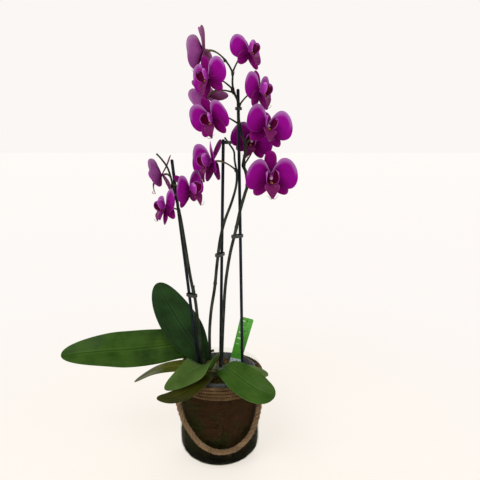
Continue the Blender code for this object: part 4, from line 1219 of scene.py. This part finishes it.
BLADES = [   # length, width, around, foot, widest, roundness, cup, layer, wave
    (SEPAL_LENGTH, DORSAL_WIDTH, 0.0, 0.46, 0.60, 2.5, 0.10, -0.0004, 0.05),
    (SEPAL_LENGTH, LATERAL_WIDTH, 138.0, 0.34, 0.46, 1.8, 0.10, -0.0007, 0.07),
    (SEPAL_LENGTH, LATERAL_WIDTH, -138.0, 0.34, 0.46, 1.8, 0.10, -0.0010, 0.07),
    (PETAL_LENGTH, PETAL_WIDTH, 76.0, 0.14, 0.58, 2.2, 0.08, 0.0007, 0.07),
    (PETAL_LENGTH, PETAL_WIDTH, -76.0, 0.14, 0.58, 2.2, 0.08, 0.0011, 0.07),
]
for number, (flower_name, flower_spec) in enumerate(FLOWERS.items()):
    centre, angles, flower_size, lift_petal, lift_dorsal, lift_lateral = flower_spec
    matrix = flower_matrix(centre, angles, flower_size)
    lifts = (lift_dorsal, lift_lateral, lift_lateral, lift_petal, lift_petal)
    sheets = []
    for index, (shape, lift) in enumerate(zip(BLADES, lifts)):
        is_petal = index > 2
        spot = petal_spot(matrix, number * 1.9 + index * 2.3, lift, *shape)
        sheets.append(bent_sheet(
            "blade", spot, tip_rows(26 if is_petal else 22, shape[4]), 22 if is_petal else 14,
            PETAL_THICKNESS, (PETAL_FRONT, PETAL_BACK, SEPAL_FRONT, SEPAL_BACK),
            0 if is_petal else 2, mirror=shape[2] > 0.0))
    hub = small_body("hub", (0.0, 0.0006, 0.0), (0.0028, 0.0026, 0.0028), matrix, SEPAL_BACK)
    bloom = gathered(flower_name + "_bloom", sheets + [hub])
    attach(bloom, "root")
    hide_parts(flower_name + "_petals")

    lip_matrix = matrix @ Matrix.Scale(LIP_SCALE, 4)
    column_points = []
    column_radii = []
    for t in (i / 8 for i in range(9)):
        column_points.append(matrix @ Vector((0.0, -0.0004 - 0.0092 * t, 0.0004 - 0.0022 * t * t)))
        radius = flower_size * (0.0021 + 0.0011 * math.sin(math.pi * min(t, 0.8)))
        column_radii.append(radius * (1.0 if t < 0.95 else 0.55))
    column = swept("column", column_points, column_radii, column_skin.material, 12)
    anther = small_body(
        "anther", (0.0, -0.0099, -0.0022), (0.0013, 0.0012, 0.0012), matrix, column_skin.material)
    mark_run(anther, [1.0] * len(anther.data.vertices))
    parts = [column, anther]
    for centre, radii in (
            ((0.0007, -0.0085, -0.0058), (0.0015, 0.0018, 0.0013)),
            ((-0.0009, -0.0078, -0.0052), (0.0013, 0.0015, 0.0012))):
        parts.append(small_body("callus", centre, radii, lip_matrix, callus_skin.material))
    sway = 0.002 * math.sin(number * 2.4)
    parts += [side_lobe(1.0, lip_matrix), side_lobe(-1.0, lip_matrix), tongue(lip_matrix, sway)]
    for side in (1.0, -1.0):
        thread = []
        thread_radii = []
        for t in (i / 12 for i in range(13)):
            curl = math.radians(200.0) * t
            thread.append(lip_matrix @ Vector((
                sway + side * (0.0008 + 0.0062 * t),
                -0.0140 - 0.0030 * math.sin(curl) - 0.0010 * t,
                -0.0232 + 0.0026 * (1.0 - math.cos(curl)) - 0.0012 * t)))
            thread_radii.append(flower_size * (0.00042 - 0.00026 * t))
        parts.append(swept("tendril", thread, thread_radii, tendril_skin.material, 6))
    lip = gathered(flower_name + "_lip_column", parts)
    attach(lip, "root")
    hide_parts(flower_name + "_lip")

# ----------------------------------------------------------- flower spikes
# Three arching stems, green-black and slightly zigzag, with a small bract at
# each joint and a slender stalk out to each flower.
STEM_RADIUS = 0.0025
STEM_TIP_RADIUS = 0.0013
PEDICEL_RADIUS = 0.0014
HUB_RADIUS = 0.0030
SPIKES = {
    "left": (
        [(-0.0205, -0.0090, 0.1560), (-0.026, -0.0080, 0.170), (-0.030, -0.006, 0.191),
         (-0.034, -0.005, 0.236), (-0.037, -0.005, 0.267), (-0.042, -0.005, 0.293),
         (-0.047, -0.005, 0.325), (-0.056, -0.005, 0.393), (-0.061, -0.005, 0.418),
         (-0.067, -0.005, 0.445), (-0.070, -0.005, 0.460), (-0.075, -0.005, 0.476),
         (-0.083, -0.005, 0.488), (-0.091, -0.005, 0.497)],
        {"flower_11": (-0.0675, -0.005, 0.447), "flower_12": (-0.068, -0.005, 0.451),
         "flower_13": (-0.0595, -0.005, 0.411)}),
    "middle": (
        [(-0.0115, -0.0020, 0.1560), (-0.0145, -0.0050, 0.171), (-0.015, -0.005, 0.210),
         (-0.012, -0.005, 0.249), (-0.006, -0.005, 0.287), (-0.002, -0.005, 0.325),
         (0.003, -0.005, 0.363), (0.010, -0.006, 0.393), (0.021, -0.006, 0.423),
         (0.028, -0.006, 0.448), (0.029, -0.006, 0.468), (0.026, -0.006, 0.487),
         (0.025, -0.006, 0.500), (0.019, -0.006, 0.510), (0.011, -0.006, 0.521)],
        {"flower_07": (0.0285, -0.006, 0.472)}),
    "right": (
        [(0.0045, -0.0060, 0.1560), (0.0045, -0.0035, 0.167), (0.006, -0.002, 0.209),
         (0.008, -0.002, 0.248), (0.010, -0.002, 0.280), (0.013, -0.002, 0.308),
         (0.019, -0.001, 0.344), (0.027, 0.0, 0.377), (0.034, 0.0, 0.409),
         (0.041, 0.0, 0.434), (0.045, 0.0, 0.449), (0.043, 0.0, 0.468),
         (0.039, 0.0, 0.480), (0.042, 0.0, 0.499), (0.042, 0.0, 0.511),
         (0.038, 0.0, 0.522), (0.034, 0.0, 0.537), (0.032, 0.0, 0.550),
         (0.032, 0.0, 0.564), (0.030, 0.0, 0.575), (0.025, 0.0, 0.586),
         (0.023, 0.0, 0.598), (0.023, 0.0, 0.612), (0.019, 0.0, 0.622),
         (0.011, 0.0, 0.633)],
        {"flower_01": (0.013, 0.0, 0.6305), "flower_02": (0.0225, 0.0, 0.612),
         "flower_03": (0.0235, 0.0, 0.590), "flower_04": (0.0255, 0.0, 0.585),
         "flower_05": (0.032, 0.0, 0.566),
         "flower_06": (0.0335, 0.0, 0.539), "flower_08": (0.0395, 0.0, 0.4790),
         "flower_09": (0.042, 0.0, 0.511), "flower_10": (0.045, 0.0, 0.449)}),
}
spike_skin = Finish("spike_skin", 0.5, Specular_IOR_Level=0.10)
spike_tone = spike_skin.grain(150.0, 4.0, (1.0, 1.0, 0.35))
spike_skin.colour(spike_tone.ease(0.3, 0.75).blend((0.006, 0.009, 0.006), (0.034, 0.042, 0.024)))
spike_skin.relief(spike_tone, 0.0004, 0.6)
stalk_skin = Finish("stalk_skin", 0.5, Specular_IOR_Level=0.10)
stalk_tone = stalk_skin.attribute("run") + (stalk_skin.grain(170.0, 3.0) - 0.5) * 0.3
stalk_skin.colour(stalk_tone.ramp((
    (0.0, (0.022, 0.026, 0.012)), (0.4, (0.075, 0.070, 0.025)), (0.8, (0.125, 0.105, 0.045)),
    (1.0, (0.200, 0.090, 0.130)))))


def bract(spot, upward, outward, height):
    """Small pointed scale that hugs the stem under a stalk."""
    outward = (outward - upward * outward.dot(upward)).normalized()
    across = upward.cross(outward)

    def place(u, v):
        reach = math.radians(115.0) * v * (1.0 - u ** 1.6)
        radius = STEM_RADIUS + 0.0003 + 0.0014 * u * u
        return spot + upward * (height * u) + (
            outward * math.cos(reach) + across * math.sin(reach)) * radius

    skins = (spike_skin.material, spike_skin.material)
    return bent_sheet("bract", place, [i / 6 for i in range(7)], 8, 0.0003, skins, 0)


LOW_JOINT = Vector((-0.0395, -0.005, 0.281))    # of the left spike, where an old bract stays
for which, (stem_route, stalks) in SPIKES.items():
    count = 12 * len(stem_route)
    stem_points = [spline_point(stem_route, i / count) for i in range(count + 1)]
    top = stem_route[-1][2]
    joints = [Vector(start) for start in stalks.values()]
    joints.append(LOW_JOINT if which == "left" else spline_point(stem_route, 0.30))
    radii = []
    for point in stem_points:
        near_tip = max(0.0, 1.0 - (top - point.z) / 0.16)
        radius = STEM_RADIUS + (STEM_TIP_RADIUS - STEM_RADIUS) * near_tip
        nearest = min((point - joint).length for joint in joints)
        radii.append(radius + 0.0006 * math.exp(-(nearest / 0.0022) ** 2))
    parts = [swept("stem", stem_points, radii, spike_skin.material, 14)]
    for flower_name, start in stalks.items():
        centre, angles, flower_size = FLOWERS[flower_name][:3]
        matrix = flower_matrix(centre, angles, flower_size)
        back = (matrix.to_3x3() @ Vector((0.0, 1.0, 0.0))).normalized()
        end = Vector(centre) + back * (HUB_RADIUS * flower_size + 0.0010)
        start = Vector(start)
        reach = (end - start).length
        run_out, droop = (0.80, -0.35) if start.z < end.z - 0.03 else (0.40, 0.08)
        bend = end + back * reach * run_out + Vector((0.0, 0.0, reach * droop))
        stalk_points = []
        stalk_radii = []
        for t in (i / 24 for i in range(25)):
            stalk_points.append(start * (1 - t) ** 2 + bend * (2 * t * (1 - t)) + end * t ** 2)
            stalk_radii.append(PEDICEL_RADIUS * (0.92 + 0.10 * math.cos(9.0 * t) + 0.35 * t ** 3))
        stalk_points.append(Vector(centre) + back * 0.0008)
        stalk_radii.append(PEDICEL_RADIUS * 1.4)
        parts.append(swept("stalk", stalk_points, stalk_radii, stalk_skin.material, 12))
        parts.append(bract(
            start - Vector((0.0, 0.0, 0.0022)), Vector((0.0, 0.0, 1.0)), stalk_points[4] - start,
            0.0055))
    if which == "left":
        parts.append(bract(LOW_JOINT, Vector((-0.2, 0.0, 0.98)), Vector((1.0, -0.3, 0.0)), 0.011))
    spike = gathered("spike_stem_" + which, parts)
    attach(spike, "root")
    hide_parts("flower_spike_" + which)

# ------------------------------------------------------------------- clips
# Moulded plastic loops that hold each spike to its stake.  Their shape comes
# with the frame, and they get their dark green plastic here.
clip_plastic = Finish("clip_plastic", 0.38)
clip_grain = clip_plastic.grain(600.0, 3.0)
clip_plastic.colour(clip_grain.blend((0.006, 0.011, 0.006), (0.020, 0.030, 0.016)))
clip_plastic.relief(clip_grain, 0.0001, 0.5)
for node_name, node_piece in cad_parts.items():
    if node_name.startswith("clip_"):
        node_piece.data.materials.clear()
        node_piece.data.materials.append(clip_plastic.material)

# --------------------------------------------------------- floor and light
# A plain pale floor under a large soft light from above and in front, with a
# weak fill from the right and another from behind.
floor_finish = Finish("floor", 0.75, Specular_IOR_Level=0.1)
spread = floor_finish.place.vector("LENGTH", (0.0, 0.0, 0.0), "Value").ease(0.10, 0.95)
floor_finish.colour(spread.blend((0.30, 0.29, 0.275), (0.0, 0.0, 0.0)))
floor_finish.tree.links.new(
    spread.blend((0.71, 0.66, 0.605), (0.965, 0.928, 0.898)).socket,
    floor_finish.shader.inputs["Emission Color"])
floor_finish.shader.inputs["Emission Strength"].default_value = 1.0
bpy.ops.mesh.primitive_plane_add(size=14.0, location=(0.0, 0.0, -0.0003))
floor = bpy.context.object
floor.name = "floor"
floor.data.materials.append(floor_finish.material)

for light_name, spot, size, power in (
        ("key", (-0.9, -1.6, 2.1), 1.4, 34.0),
        ("fill", (1.7, -1.2, 1.2), 1.6, 9.0),
        ("back", (0.4, 1.6, 1.9), 1.4, 10.0)):
    light = bpy.data.lights.new(light_name, "AREA")
    light.size = size
    light.energy = power
    lamp = placed(light_name, light)
    lamp.location = spot
    aim = Vector((0.0, 0.0, 0.35)) - Vector(spot)
    lamp.rotation_euler = aim.to_track_quat("-Z", "Y").to_euler()
world = bpy.data.worlds.new("world")
scene.world = world
world.use_nodes = True
sky = world.node_tree.nodes["Background"]
sky_tree = world.node_tree
sky_place = Wire(sky_tree, sky_tree.nodes.new("ShaderNodeTexCoord").outputs["Generated"])
sky_colour = sky_place.axis("Z").ease(0.22, 0.50).blend(
    (0.965, 0.930, 0.905), (0.42, 0.42, 0.42))
sky_tree.links.new(sky_colour.socket, sky.inputs["Color"])
sky.inputs["Strength"].default_value = 1.0
